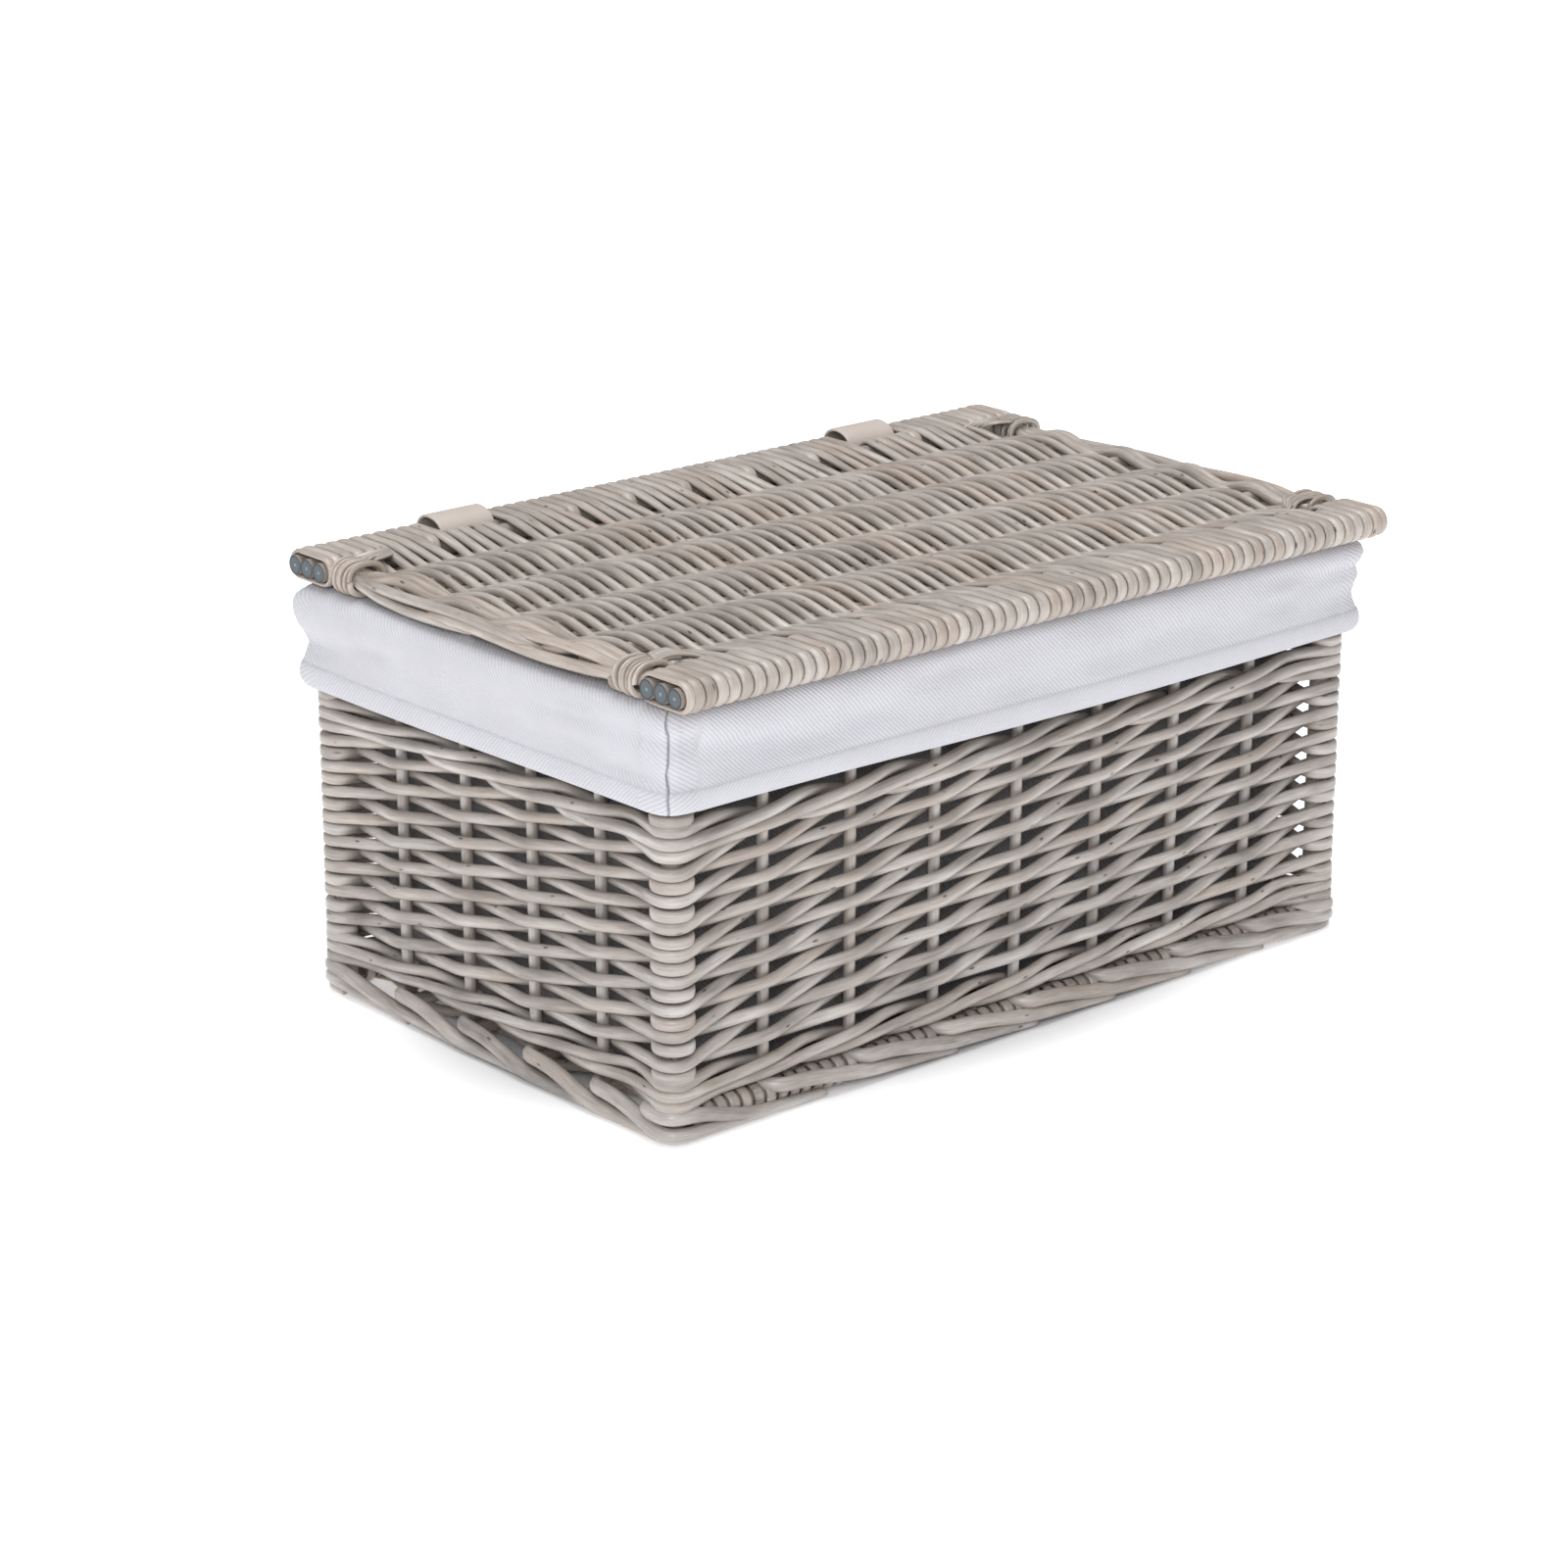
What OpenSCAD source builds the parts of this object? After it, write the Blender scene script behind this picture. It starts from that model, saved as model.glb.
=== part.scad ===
// Rectangular willow sewing basket: woven body, cotton liner turned over the rim
// as a cuff, and a flat woven lid that swings on two leather straps.
// Millimetres. The origin is under the middle of the lid, on the surface that the
// basket stands on. X runs along the length, -Y is the front, +Z is up.

/* [Body] */
// Length over the woven walls
basket_l = 300; // [270:1:340]
// Width over the woven walls
basket_w = 184; // [165:1:215]
// Stakes in the front wall and in the back wall, between the corner posts
long_stakes = 7; // [5:1:9]
// Stakes in each end wall, between the corner posts
end_stakes = 4; // [3:1:6]
// Diameter of a stake
stake_d = 5; // [4:0.1:6]
// Diameter of a corner post
post_d = 7; // [6:0.1:9]
// Thickness of the weavers' turns round a corner post
band_t = 3.7; // [3:0.1:4.5]
// Depth of the groove between two turns round a corner post
band_groove = 0.9; // [0.4:0.1:1.5]

/* [Wall weave] */
// Thickness of a wall weaver, across the wall
weaver_t = 4.2; // [3.2:0.1:5]
// Height of a row of plain weave
row_h = 4.9; // [4.2:0.1:5.6]
// Height of a row of the firmer waling
wale_h = 3.7; // [3:0.1:4.4]
// Rows of waling above the foot, and again below the cuff
wale_rows = 4; // [2:1:5]
// Rows of plain weave between the two bands of waling
plain_rows = 12; // [8:1:15]
// Rows of plain weave above the upper waling, under the cuff
top_rows = 5; // [3:1:7]
// Diameter of a rod of the foot border
foot_rod_d = 3.6; // [3:0.1:4.5]
// Diameter of a rod of the rim border
rim_rod_d = 3.9; // [3:0.1:4.5]

/* [Base] */
// Diameter of the two outer sticks of the base
base_edge_d = 6.5; // [5:0.1:7]
// Diameter of an inner stick of the base
base_stick_d = 4.6; // [4:0.1:5]
// Inner sticks of the base
base_stick_count = 4; // [3:1:5]
// Thickness of a base weaver
base_weaver_t = 2.4; // [2:0.1:2.6]
// Distance between two base weavers, middle to middle
base_pitch = 4.87; // [4.5:0.01:6]

/* [Liner] */
// Thickness of the doubled cotton
cloth_t = 1.4; // [1:0.1:2]
// Height of the cuff, from its hem to the top of the rim
cuff_drop = 33; // [26:1:40]
// Height of the hem
hem_h = 7; // [5:0.5:9]
// Thickness of the hem
hem_t = 2.4; // [2:0.1:3]
// How far the cuff stands out at half its height
cuff_swell = 0.8; // [0:0.1:1.2]
// Radius over the rim, outside
cuff_round = 4; // [3.5:0.5:4.5]
// Depth of the cuff inside the basket
cuff_inside = 7; // [6:0.5:9]

/* [Lid] */
// Length of the lid's edge rods
lid_l = 307; // [280:1:345]
// Distance between the front and the back bundle of edge rods, middle to middle
lid_span = 179; // [165:1:210]
// How far the lid lies to the right of the body's middle
lid_shift_x = 1; // [0:0.5:1]
// How far the lid lies in front of the body's middle
lid_shift_y = 2.5; // [0:0.5:4]
// Diameter of an edge rod, three of which lie side by side
edge_rod_d = 6.5; // [6:0.1:7]
// Diameter of an inner stick of the lid
lid_stick_d = 4.6; // [4:0.1:5]
// Inner sticks of the lid
lid_stick_count = 4; // [3:1:5]
// Thickness of a lid weaver
lid_weaver_t = 2.7; // [2:0.1:2.8]
// Thickness of a weaver where it turns round the edge rods
wrap_t = 1.8; // [1.5:0.1:2.2]
// Distance between two lid weavers, middle to middle
lid_pitch = 4.87; // [4.5:0.01:6]
// Width of one of the three strands that close each end of the lid
strand_w = 4.1; // [3.5:0.1:4.5]

/* [Corner bindings] */
// Diameter of the split willow of a corner binding
binding_d = 1.8; // [1.2:0.1:2]
// Turns of a corner binding
binding_turns = 4.5; // [3.5:0.5:4.5]
// Clear gap from one turn of a binding to the next
binding_gap = 0.6; // [0.5:0.05:0.8]

/* [Straps] */
// Distance from the lid's middle to the middle of a strap
strap_x = 90; // [60:1:110]
// Width of a strap
strap_w = 22; // [18:1:35]
// Thickness of a strap
strap_t = 1.1; // [0.8:0.1:1.4]
// How far behind the cuff the lid turns
hinge_back = 2.4; // [2:0.1:3]

/* [Clearances] */
// Gap between neighbouring rods and layers
gap = 0.3; // [0.25:0.01:0.4]
// Gap between a rod and what is wound round it
wrap_fit = 0.15; // [0.1:0.01:0.2]
// Gap between the closed lid and the cuff under it
lid_gap = 0.35; // [0.3:0.01:0.5]

/* [Hidden] */

// Colours, as the photograph shows them
willow = "#A89C90";
willow_tan = "#B39C8C";
willow_silver = "#A6A19B";
rod_end = "#5F686B";
cotton = "#E4E4E8";
leather = "#CFC4B8";

// The four walls
FRONT = "front";
RIGHT = "right";
BACK = "back";
LEFT = "left";
// Points per bay along a woven rod, and segments in a drawn arc
wave_steps = 3;
arc_steps = 4;

// A weaver passes a stake at this distance, middle to middle
swing = stake_d / 2 + gap + weaver_t / 2;
// Distance from the line of the stakes to either face of the wall
face = swing + weaver_t / 2;
// Half distances between the lines of the stakes of opposite walls
half_l = basket_l / 2 - face;
half_w = basket_w / 2 - face;
// Place of the body's middle, from the lid's
body_x = -lid_shift_x;
body_y = lid_shift_y;
band_r = post_d / 2 + wrap_fit + band_t;
// Wall rods stop this far from the middle of a corner post
rod_stop = band_r + gap;

// Heights of the layers, from the ground up
foot_lift = 0.2;
foot_top = foot_lift + 3 * foot_rod_d + 2 * gap;
foot_wale_z = foot_top + gap;
plain_z = foot_wale_z + wale_rows * wale_h;
rim_wale_z = plain_z + plain_rows * row_h;
top_z = rim_wale_z + wale_rows * wale_h;
weave_top = top_z + top_rows * row_h;
// The straps pass through the wall between the weave and the rim border
strap_way = strap_t + 2 * gap;
rim_z = weave_top + strap_way;
rim_top = rim_z + 3 * rim_rod_d + 2 * gap;
band_top = rim_top - band_groove;
cuff_top = rim_top + gap + cloth_t;
hem_z = cuff_top - cuff_drop;

// Base: middle height, inner edge of the foot border, and the edge sticks' line
base_half_t = base_stick_d / 2 + wrap_fit + base_weaver_t;
base_z = foot_lift + 0.6 + base_half_t;
base_top = base_z + base_half_t;
border_line = face - foot_rod_d / 2;
base_reach = border_line - foot_rod_d / 2 - gap;
base_edge_y = half_w + base_reach - base_edge_d / 2;
base_inner = base_edge_y - base_edge_d / 2;

// Liner: faces of the cloth, measured inwards from the line of the stakes
liner_face = max(face, band_r) + gap;
liner_inside = liner_face + cloth_t;
liner_floor_z = base_top + gap;
liner_top = rim_top - cuff_inside;

// Lid: half thickness, middle height, and the space inside the bundles
wrap_r = edge_rod_d / 2 + wrap_fit + wrap_t;
rod_r = edge_rod_d / 2 + wrap_fit;
lid_swing = lid_stick_d / 2 + wrap_fit + lid_weaver_t / 2;
lid_wave = lid_swing / cos(90 / wave_steps);
lid_half_t = max(wrap_r, lid_swing + lid_weaver_t / 2);
lid_z = cuff_top + lid_gap + lid_half_t;
bundle_y = lid_span / 2;
lid_inner = bundle_y - 1.5 * edge_rod_d;
lid_stick_pitch = 2 * lid_inner / (lid_stick_count + 1);
// The woven part stops short of the strands at the ends, which the bindings hold
plait_half = 1.5 * strand_w + gap;
binding_a = plait_half + gap + binding_d / 2;
binding_b = lid_weaver_t / 2 + 1.2 + binding_d / 2;
binding_pitch = binding_d + binding_gap;
plait_x = lid_l / 2 - binding_a;
weave_half = plait_x - binding_a - binding_d / 2 - gap;
lid_weavers = floor(2 * weave_half / lid_pitch);
end_wraps = floor((lid_l / 2 - lid_weavers * lid_pitch / 2) / lid_pitch);

// Straps and hinge line
strap_out = half_w + liner_inside + cuff_swell + gap;
strap_in = half_w - liner_inside - gap;
hinge_y = body_y + half_w + liner_inside + cuff_swell + hinge_back;
hinge_z = cuff_top + 1;

// ---------------------------------------------------------------- helpers

// Turns what is drawn for the front wall to the wall in a given direction
module on_wall(side) {
    dist = (side == FRONT || side == BACK) ? half_w : half_l;
    in_body() rotate([0, 0, facing(side)]) translate([0, -dist, 0]) children();
}

// The front wall is turned by this angle about Z to give each wall
function facing(side) = side == FRONT ? 0 : side == RIGHT ? 90 : side == BACK ? 180 : 270;

module in_body() {
    translate([body_x, body_y, 0]) children();
}

module in_lid() {
    translate([0, 0, lid_z]) children();
}

// Half length of a wall between its corner posts' middles, and its bays
function wall_half(side) = (side == FRONT || side == BACK) ? half_l : half_w;
function wall_bays(side) = ((side == FRONT || side == BACK) ? long_stakes : end_stakes) + 1;

// Places along a woven rod: both ends, and points at even steps between
function places(reach, from, step) = concat([-reach],
    [for (k = [0 : floor(-2 * from / step + 0.01)])
        let (u = from + k * step)
        if (abs(u) < reach - 0.5) u],
    [reach]);

// Outline of a rod of thickness t that follows the heights v at the places u
function ribbon(u, v, t) = concat(
    [for (i = [0 : len(u) - 1]) [u[i], v[i] - t / 2]],
    [for (i = [len(u) - 1 : -1 : 0]) [u[i], v[i] + t / 2]]);

// Points of an arc in n steps
function arc(cx, cy, r, a0, a1, n = arc_steps) =
    [for (k = [0 : n]) let (a = a0 + (a1 - a0) * k / n) [cx + r * cos(a), cy + r * sin(a)]];

// Sets an outline drawn in Y and Z upright, w thick along X
module along_x(w) {
    rotate([90, 0, 90]) linear_extrude(height = w, center = true) children();
}

// Flat-sided ring section with round ends, r at the ends, middles 2 * h apart
module stadium(h, r) {
    union() {
        translate([-h, 0]) circle(r = r);
        translate([h, 0]) circle(r = r);
        translate([-h, -r]) square([2 * h, 2 * r]);
    }
}

// One row of a wall: a rod that passes the stakes outside and inside in turn
module wall_rod(side, phase, h) {
    half = wall_half(side);
    bay = 2 * half / wall_bays(side);
    u = places(half - rod_stop, -half, bay / wave_steps);
    v = [for (x = u) phase * swing * cos(180 * (x + half) / bay)];
    linear_extrude(height = h - gap) polygon(ribbon(u, v, weaver_t));
}

// Rows of one wall from a height up
module wall_rows(side, z, count, h) {
    on_wall(side)
        for (i = [0 : count - 1])
            translate([0, 0, z + i * h]) wall_rod(side, i % 2 == 0 ? 1 : -1, h);
}

// Border of one wall: each stake's end lies down over the next bays, side by side
module wall_border(side, z, d, line) {
    half = wall_half(side);
    bays = wall_bays(side);
    bay = 2 * half / bays;
    drop = d + gap;
    lean = atan(drop / bay);
    reach = half - rod_stop;
    on_wall(side)
        for (i = [-1 : bays - 1]) {
            start = -half + i * bay;
            u0 = max(start, -reach);
            u1 = min(start + 2 * bay, reach);
            translate([u0, -line, z + d / 2 + 2 * drop - (u0 - start) / bay * drop])
                rotate([0, 90 + lean, 0]) cylinder(h = (u1 - u0) / cos(lean), d = d);
        }
}

module wall_weave(side) {
    color(willow) wall_rows(side, plain_z, plain_rows, row_h);
    color(willow) wall_rows(side, top_z, top_rows, row_h);
}

// A band of waling, on all four walls
module wale(z) {
    color(willow_tan)
        for (side = [FRONT, RIGHT, BACK, LEFT])
            wall_rows(side, z, wale_rows, wale_h);
}

module foot_border() {
    color(willow_tan)
        for (side = [FRONT, RIGHT, BACK, LEFT])
            wall_border(side, foot_lift, foot_rod_d, border_line);
}

// The rim border is two rods wide, under the cuff
module rim_border() {
    color(willow_tan)
        for (side = [FRONT, RIGHT, BACK, LEFT])
            for (s = [-1, 1])
                wall_border(side, rim_z, rim_rod_d, s * (face - rim_rod_d / 2));
}

module wall_stakes(side) {
    bays = wall_bays(side);
    half = wall_half(side);
    color(willow) on_wall(side)
        for (i = [1 : bays - 1])
            translate([-half + i * 2 * half / bays, 0, foot_top + gap])
                cylinder(h = weave_top - foot_top - gap, d = stake_d);
}

// ---------------------------------------------------------------- base

module base_outer_sticks() {
    color(willow_tan) in_body()
        for (s = [-1, 1])
            translate([-(half_l - rod_stop), s * base_edge_y, base_z])
                rotate([0, 90, 0]) cylinder(h = 2 * (half_l - rod_stop), d = base_edge_d);
}

module base_sticks() {
    reach = half_l + base_reach;
    pitch = 2 * base_inner / (base_stick_count + 1);
    color(willow_tan) in_body()
        for (i = [1 : base_stick_count])
            translate([-reach, -base_inner + i * pitch, base_z])
                rotate([0, 90, 0]) cylinder(h = 2 * reach, d = base_stick_d);
}

// Height of a weaver over or under sticks, level where it nears the edge
function weave_height(y, inner, pitch, a) =
    abs(y) > inner - pitch / 2 ? 0 : a * cos(180 * ((y + inner) / pitch - 1));

module base_weave() {
    pitch = 2 * base_inner / (base_stick_count + 1);
    count = floor(2 * (half_l - rod_stop) / base_pitch);
    lift = (base_stick_d / 2 + wrap_fit + base_weaver_t / 2) / cos(90 / wave_steps);
    y = places(base_inner - gap, -base_inner + pitch / 2, pitch / wave_steps);
    color(willow) in_body()
        for (i = [0 : count - 1])
            translate([(i - (count - 1) / 2) * base_pitch, 0, base_z])
                along_x(base_pitch - gap)
                    polygon(ribbon(y, [for (p = y)
                        weave_height(p, base_inner, pitch, i % 2 == 0 ? lift : -lift)], base_weaver_t));
}

// ---------------------------------------------------------------- corners

module corner_post(sx, sy) {
    color(willow) in_body() translate([sx * half_l, sy * half_w, 0]) cylinder(h = rim_top, d = post_d);
}

// Bottom heights of the turns round a corner post, and the top of the last one
turn_z = concat(
    [for (i = [0 : 1]) i * foot_wale_z / 2],
    [for (i = [0 : wale_rows - 1]) foot_wale_z + i * wale_h],
    [for (i = [0 : plain_rows - 1]) plain_z + i * row_h],
    [for (i = [0 : wale_rows - 1]) rim_wale_z + i * wale_h],
    [for (i = [0 : top_rows - 1]) top_z + i * row_h],
    [weave_top, (weave_top + band_top) / 2, band_top]);

module corner_bands(sx, sy) {
    bore = post_d / 2 + wrap_fit;
    outline = concat([[bore, 0]],
        [for (i = [0 : len(turn_z) - 2])
            let (z0 = turn_z[i], z1 = turn_z[i + 1], h = z1 - z0)
            each [[band_r - band_groove, z0], [band_r, z0 + h / 4], [band_r, z1 - h / 4]]],
        [[band_r - band_groove, band_top], [bore, band_top]]);
    color(willow_silver) in_body()
        translate([sx * half_l, sy * half_w, 0]) rotate_extrude() polygon(outline);
}

// ---------------------------------------------------------------- liner

module liner_floor() {
    half_x = half_l - liner_inside - gap;
    half_y = half_w - liner_inside - gap;
    color(cotton) in_body() translate([-half_x, -half_y, liner_floor_z])
        cube([2 * half_x, 2 * half_y, cloth_t]);
}

// The end walls run between the long ones
module liner_wall(side) {
    long = side == FRONT || side == BACK;
    half = long ? half_l - liner_face : half_w - liner_inside - gap;
    color(cotton) difference() {
        on_wall(side) translate([-half, liner_face, liner_floor_z])
            cube([2 * half, cloth_t, liner_top - gap - liner_floor_z]);
        strap_slits();
    }
}

// Where the straps pass through the cloth at the back
module strap_slits() {
    for (s = [-1, 1])
        translate([s * strap_x - strap_w / 2 - gap, body_y + strap_in - cloth_t, weave_top])
            cube([strap_w + 2 * gap, strap_out - strap_in + 2 * cloth_t, strap_way]);
}

// Section of the cuff outside the line of the stakes, r outwards and z up
function skirt_outside() = concat(
    [[liner_face + hem_t, hem_z],
     [liner_face + hem_t + 0.3, hem_z + hem_h / 2],
     [liner_face + hem_t, hem_z + hem_h],
     [liner_inside, hem_z + hem_h + 1.5],
     [liner_inside + cuff_swell, hem_z + cuff_drop / 2]],
    arc(liner_inside - cuff_round, cuff_top - cuff_round, cuff_round, 0, 90));
function skirt_inside() = concat(
    arc(liner_inside - cuff_round, cuff_top - cuff_round, cuff_round - cloth_t, 90, 0),
    [[liner_face + cuff_swell, hem_z + cuff_drop / 2],
     [liner_face, hem_z + hem_h + 1.5],
     [liner_face, hem_z]]);
function inside_leg() = concat(
    arc(cuff_round - liner_inside, cuff_top - cuff_round, cuff_round, 90, 180),
    [[-liner_inside, liner_top], [-liner_face, liner_top]],
    arc(cuff_round - liner_inside, cuff_top - cuff_round, cuff_round - cloth_t, 180, 90));

// One side of the cuff, mitred at the corner seams
module cuff(side) {
    half = wall_half(side);
    far = 2 * cuff_drop;
    seam = gap * sqrt(2) / 2;
    color(cotton) difference() {
        on_wall(side) intersection() {
            union() {
                rotate([90, 0, -90]) linear_extrude(height = 2 * half, center = true)
                    polygon(concat(skirt_outside(), inside_leg(), skirt_inside()));
                for (s = [-1, 1])
                    translate([s * half, 0, 0]) rotate([0, 0, s > 0 ? -90 : 180])
                        rotate_extrude(angle = 90)
                            polygon(concat(skirt_outside(), [[0, cuff_top], [0, cuff_top - cloth_t]],
                                skirt_inside()));
            }
            translate([0, 0, hem_z - 1]) linear_extrude(height = cuff_drop + 2)
                polygon([[-half - far + seam, -far], [half + far - seam, -far],
                    [half - liner_inside - seam, liner_inside], [half - liner_inside - seam, liner_inside + 1],
                    [-half + liner_inside + seam, liner_inside + 1], [-half + liner_inside + seam, liner_inside]]);
        }
        strap_slits();
    }
}

// ---------------------------------------------------------------- straps

// The part of a strap that holds the rim: down the back, through the wall, up inside
module strap_rim_loop(s) {
    z0 = weave_top + gap;
    y0 = strap_in - strap_t;
    y1 = strap_out + strap_t;
    color(leather) translate([s * strap_x, body_y, 0]) along_x(strap_w)
        polygon([[y0, cuff_top], [y0, z0], [y1, z0], [y1, cuff_top],
            [strap_out, cuff_top], [strap_out, z0 + strap_t], [strap_in, z0 + strap_t],
            [strap_in, cuff_top]]);
}

// The part of a strap that holds the lid's back rods
module strap_lid_loop(s) {
    color(leather) translate([s * strap_x, bundle_y, lid_z]) along_x(strap_w)
        difference() {
            stadium(edge_rod_d, rod_r + strap_t);
            stadium(edge_rod_d, rod_r);
        }
}

// ---------------------------------------------------------------- lid

module edge_rods(s) {
    color(rod_end) in_lid()
        for (k = [-1 : 1])
            translate([-lid_l / 2, s * bundle_y + k * edge_rod_d, 0])
                rotate([0, 90, 0]) cylinder(h = lid_l, d = edge_rod_d - 0.1);
}

module lid_sticks() {
    reach = plait_x + plait_half;
    color(willow_tan) in_lid()
        for (i = [1 : lid_stick_count])
            translate([-reach, -lid_inner + i * lid_stick_pitch, 0])
                rotate([0, 90, 0]) cylinder(h = 2 * reach, d = lid_stick_d);
}

// Outline of a bundle with round ends, as a hole in a weaver: its sides touch the true round
function bundle_hole(y) = let (r = rod_r / cos(90 / arc_steps)) concat(
    arc(y + edge_rod_d, 0, r, -90, 90), arc(y - edge_rod_d, 0, r, 90, 270));

// A weaver from the front bundle over and under the sticks to the back bundle.
// Where a strap lies, it stops short of the back bundle.
module lid_weaver(phase, at_strap) {
    lean = asin(lid_weaver_t / 2 / wrap_r);
    neck = bundle_y - edge_rod_d - wrap_r * cos(lean);
    stop = bundle_y - edge_rod_d - rod_r - strap_t - gap;
    end = at_strap ? stop : neck;
    half_pitch = lid_stick_pitch / 2;
    inner = [for (y = places(neck, -lid_inner + half_pitch, lid_stick_pitch / wave_steps))
        if (abs(y) < neck - 0.1) y];
    y = concat([-neck], inner, [end]);
    v = [for (p = y) weave_height(p, lid_inner, lid_stick_pitch, phase * lid_wave)];
    n = len(y);
    front = concat(
        arc(edge_rod_d - bundle_y, 0, wrap_r, lean, 90, 2),
        arc(-bundle_y - edge_rod_d, 0, wrap_r, 90, 270),
        arc(edge_rod_d - bundle_y, 0, wrap_r, 270, 360 - lean, 2));
    back = concat(
        arc(bundle_y - edge_rod_d, 0, wrap_r, 180 + lean, 270, 2),
        arc(bundle_y + edge_rod_d, 0, wrap_r, -90, 90),
        arc(bundle_y - edge_rod_d, 0, wrap_r, 90, 180 - lean, 2));
    low = [for (i = [1 : n - 2]) [y[i], v[i] - lid_weaver_t / 2]];
    high = [for (i = [n - 2 : -1 : 1]) [y[i], v[i] + lid_weaver_t / 2]];
    cut = [[end, -lid_weaver_t / 2], [end, lid_weaver_t / 2]];
    outline = concat(front, low, at_strap ? cut : back, high);
    holes = concat(bundle_hole(-bundle_y), at_strap ? [] : bundle_hole(bundle_y));
    m = len(outline);
    h = len(bundle_hole(0));
    along_x(lid_pitch - gap)
        polygon(concat(outline, holes), concat([[for (i = [0 : m - 1]) i]],
            [for (k = [0 : (at_strap ? 0 : 1)]) [for (i = [0 : h - 1]) m + k * h + i]]));
}

// Whether a weaver at this distance from the lid's middle meets a strap
function near_strap(x) = abs(abs(x) - strap_x) < (strap_w + lid_pitch) / 2 + gap;

module lid_weave() {
    color(willow) in_lid()
        for (i = [0 : lid_weavers - 1]) {
            x = (i - (lid_weavers - 1) / 2) * lid_pitch;
            translate([x, 0, 0]) lid_weaver(i % 2 == 0 ? 1 : -1, near_strap(x));
        }
}

// Turns of willow that finish the ends of a bundle
module end_wrapping(s) {
    color(willow_silver) in_lid()
        for (e = [-1, 1])
            for (k = [0 : end_wraps - 1])
                translate([e * (lid_weavers / 2 + k + 0.5) * lid_pitch, s * bundle_y, 0])
                    along_x(lid_pitch - gap) difference() {
                        stadium(edge_rod_d, wrap_r);
                        stadium(edge_rod_d, rod_r);
                    }
}

// Three strands side by side that close one end, over and under the sticks in turn
module lid_plait(e) {
    reach = bundle_y - edge_rod_d - wrap_r - gap;
    y = places(reach, -lid_inner + lid_stick_pitch / 2, lid_stick_pitch / wave_steps);
    color(willow_tan) in_lid()
        for (k = [-1 : 1])
            translate([e * plait_x + k * (strand_w + gap), 0, 0]) along_x(strand_w)
                polygon(ribbon(y, [for (p = y)
                    weave_height(p, lid_inner, lid_stick_pitch, (k == 0 ? -1 : 1) * lid_wave)],
                    lid_weaver_t));
}

// Corner binding: one strip wound round the end of the strands, as a flattened coil
loop_rings = 24;
tube_sides = 6;
binding_rings = loop_rings * binding_turns;
function squared(c) = sign(c) * sqrt(abs(c));
function coil_point(i) =
    let (a = 360 * i / loop_rings)
    [binding_a * squared(cos(a)), -binding_pitch * i / loop_rings, binding_b * squared(sin(a))];
function coil_out(i) =
    let (t = coil_point(i + 0.5) - coil_point(i - 0.5), n = [t[2], 0, -t[0]])
    n / norm(n);
function coil_ring(i) =
    [for (k = [0 : tube_sides - 1])
        let (a = 360 * (k + 0.5) / tube_sides)
        coil_point(i) + binding_d / 2 * (cos(a) * coil_out(i) + sin(a) * [0, 1, 0])];

module corner_binding(sx, sy) {
    start = bundle_y - edge_rod_d - wrap_r - gap - binding_d / 2;
    last = binding_rings * tube_sides;
    points = [for (i = [0 : binding_rings]) each coil_ring(i)];
    sides = [for (i = [0 : binding_rings - 1])
        for (k = [0 : tube_sides - 1])
            let (a = i * tube_sides + k, b = i * tube_sides + (k + 1) % tube_sides,
                c = b + tube_sides, d = a + tube_sides)
            each [[a, b, c], [a, c, d]]];
    ends = [for (k = [1 : tube_sides - 2])
        each [[0, k + 1, k], [last, last + k, last + k + 1]]];
    color(willow_silver) in_lid()
        translate([sx * plait_x, sy * start, 0]) rotate([0, 0, sy > 0 ? 0 : 180])
            polyhedron(points, concat(sides, ends));
}

// Least gap of a binding to itself, measured between points half a turn or more apart
binding_least_gap = min([for (i = [0 : loop_rings])
    for (j = [i + loop_rings / 2 : i + 2 * loop_rings])
        norm(coil_point(i) - coil_point(j))]) - binding_d;
echo(str("least gap of a corner binding to itself, mm: ", binding_least_gap));
echo(str("hinge line at y, z, mm: ", hinge_y, ", ", hinge_z));

// ---------------------------------------------------------------- pieces

base_outer_sticks();
base_sticks();
base_weave();
corner_post(-1, -1);  // corner_post_front_left
corner_post(1, -1);  // corner_post_front_right
corner_post(-1, 1);  // corner_post_back_left
corner_post(1, 1);  // corner_post_back_right
corner_bands(-1, -1);  // corner_bands_front_left
corner_bands(1, -1);  // corner_bands_front_right
corner_bands(-1, 1);  // corner_bands_back_left
corner_bands(1, 1);  // corner_bands_back_right
wall_stakes(FRONT);  // stakes_front
wall_stakes(BACK);  // stakes_back
wall_stakes(LEFT);  // stakes_left
wall_stakes(RIGHT);  // stakes_right
wall_weave(FRONT);  // weave_front
wall_weave(BACK);  // weave_back
wall_weave(LEFT);  // weave_left
wall_weave(RIGHT);  // weave_right
wale(foot_wale_z);  // foot_wale
wale(rim_wale_z);  // rim_wale
foot_border();
rim_border();
liner_floor();
liner_wall(FRONT);  // liner_wall_front
liner_wall(BACK);  // liner_wall_back
liner_wall(LEFT);  // liner_wall_left
liner_wall(RIGHT);  // liner_wall_right
cuff(FRONT);  // cuff_front
cuff(BACK);  // cuff_back
cuff(LEFT);  // cuff_left
cuff(RIGHT);  // cuff_right
strap_rim_loop(-1);  // strap_rim_loop_left
strap_rim_loop(1);  // strap_rim_loop_right
edge_rods(-1);  // lid_front_rods
edge_rods(1);  // lid_back_rods
lid_sticks();
lid_weave();
end_wrapping(-1);  // lid_front_wraps
end_wrapping(1);  // lid_back_wraps
lid_plait(-1);  // lid_plait_left
lid_plait(1);  // lid_plait_right
corner_binding(-1, -1);  // lid_binding_front_left
corner_binding(1, -1);  // lid_binding_front_right
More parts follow.
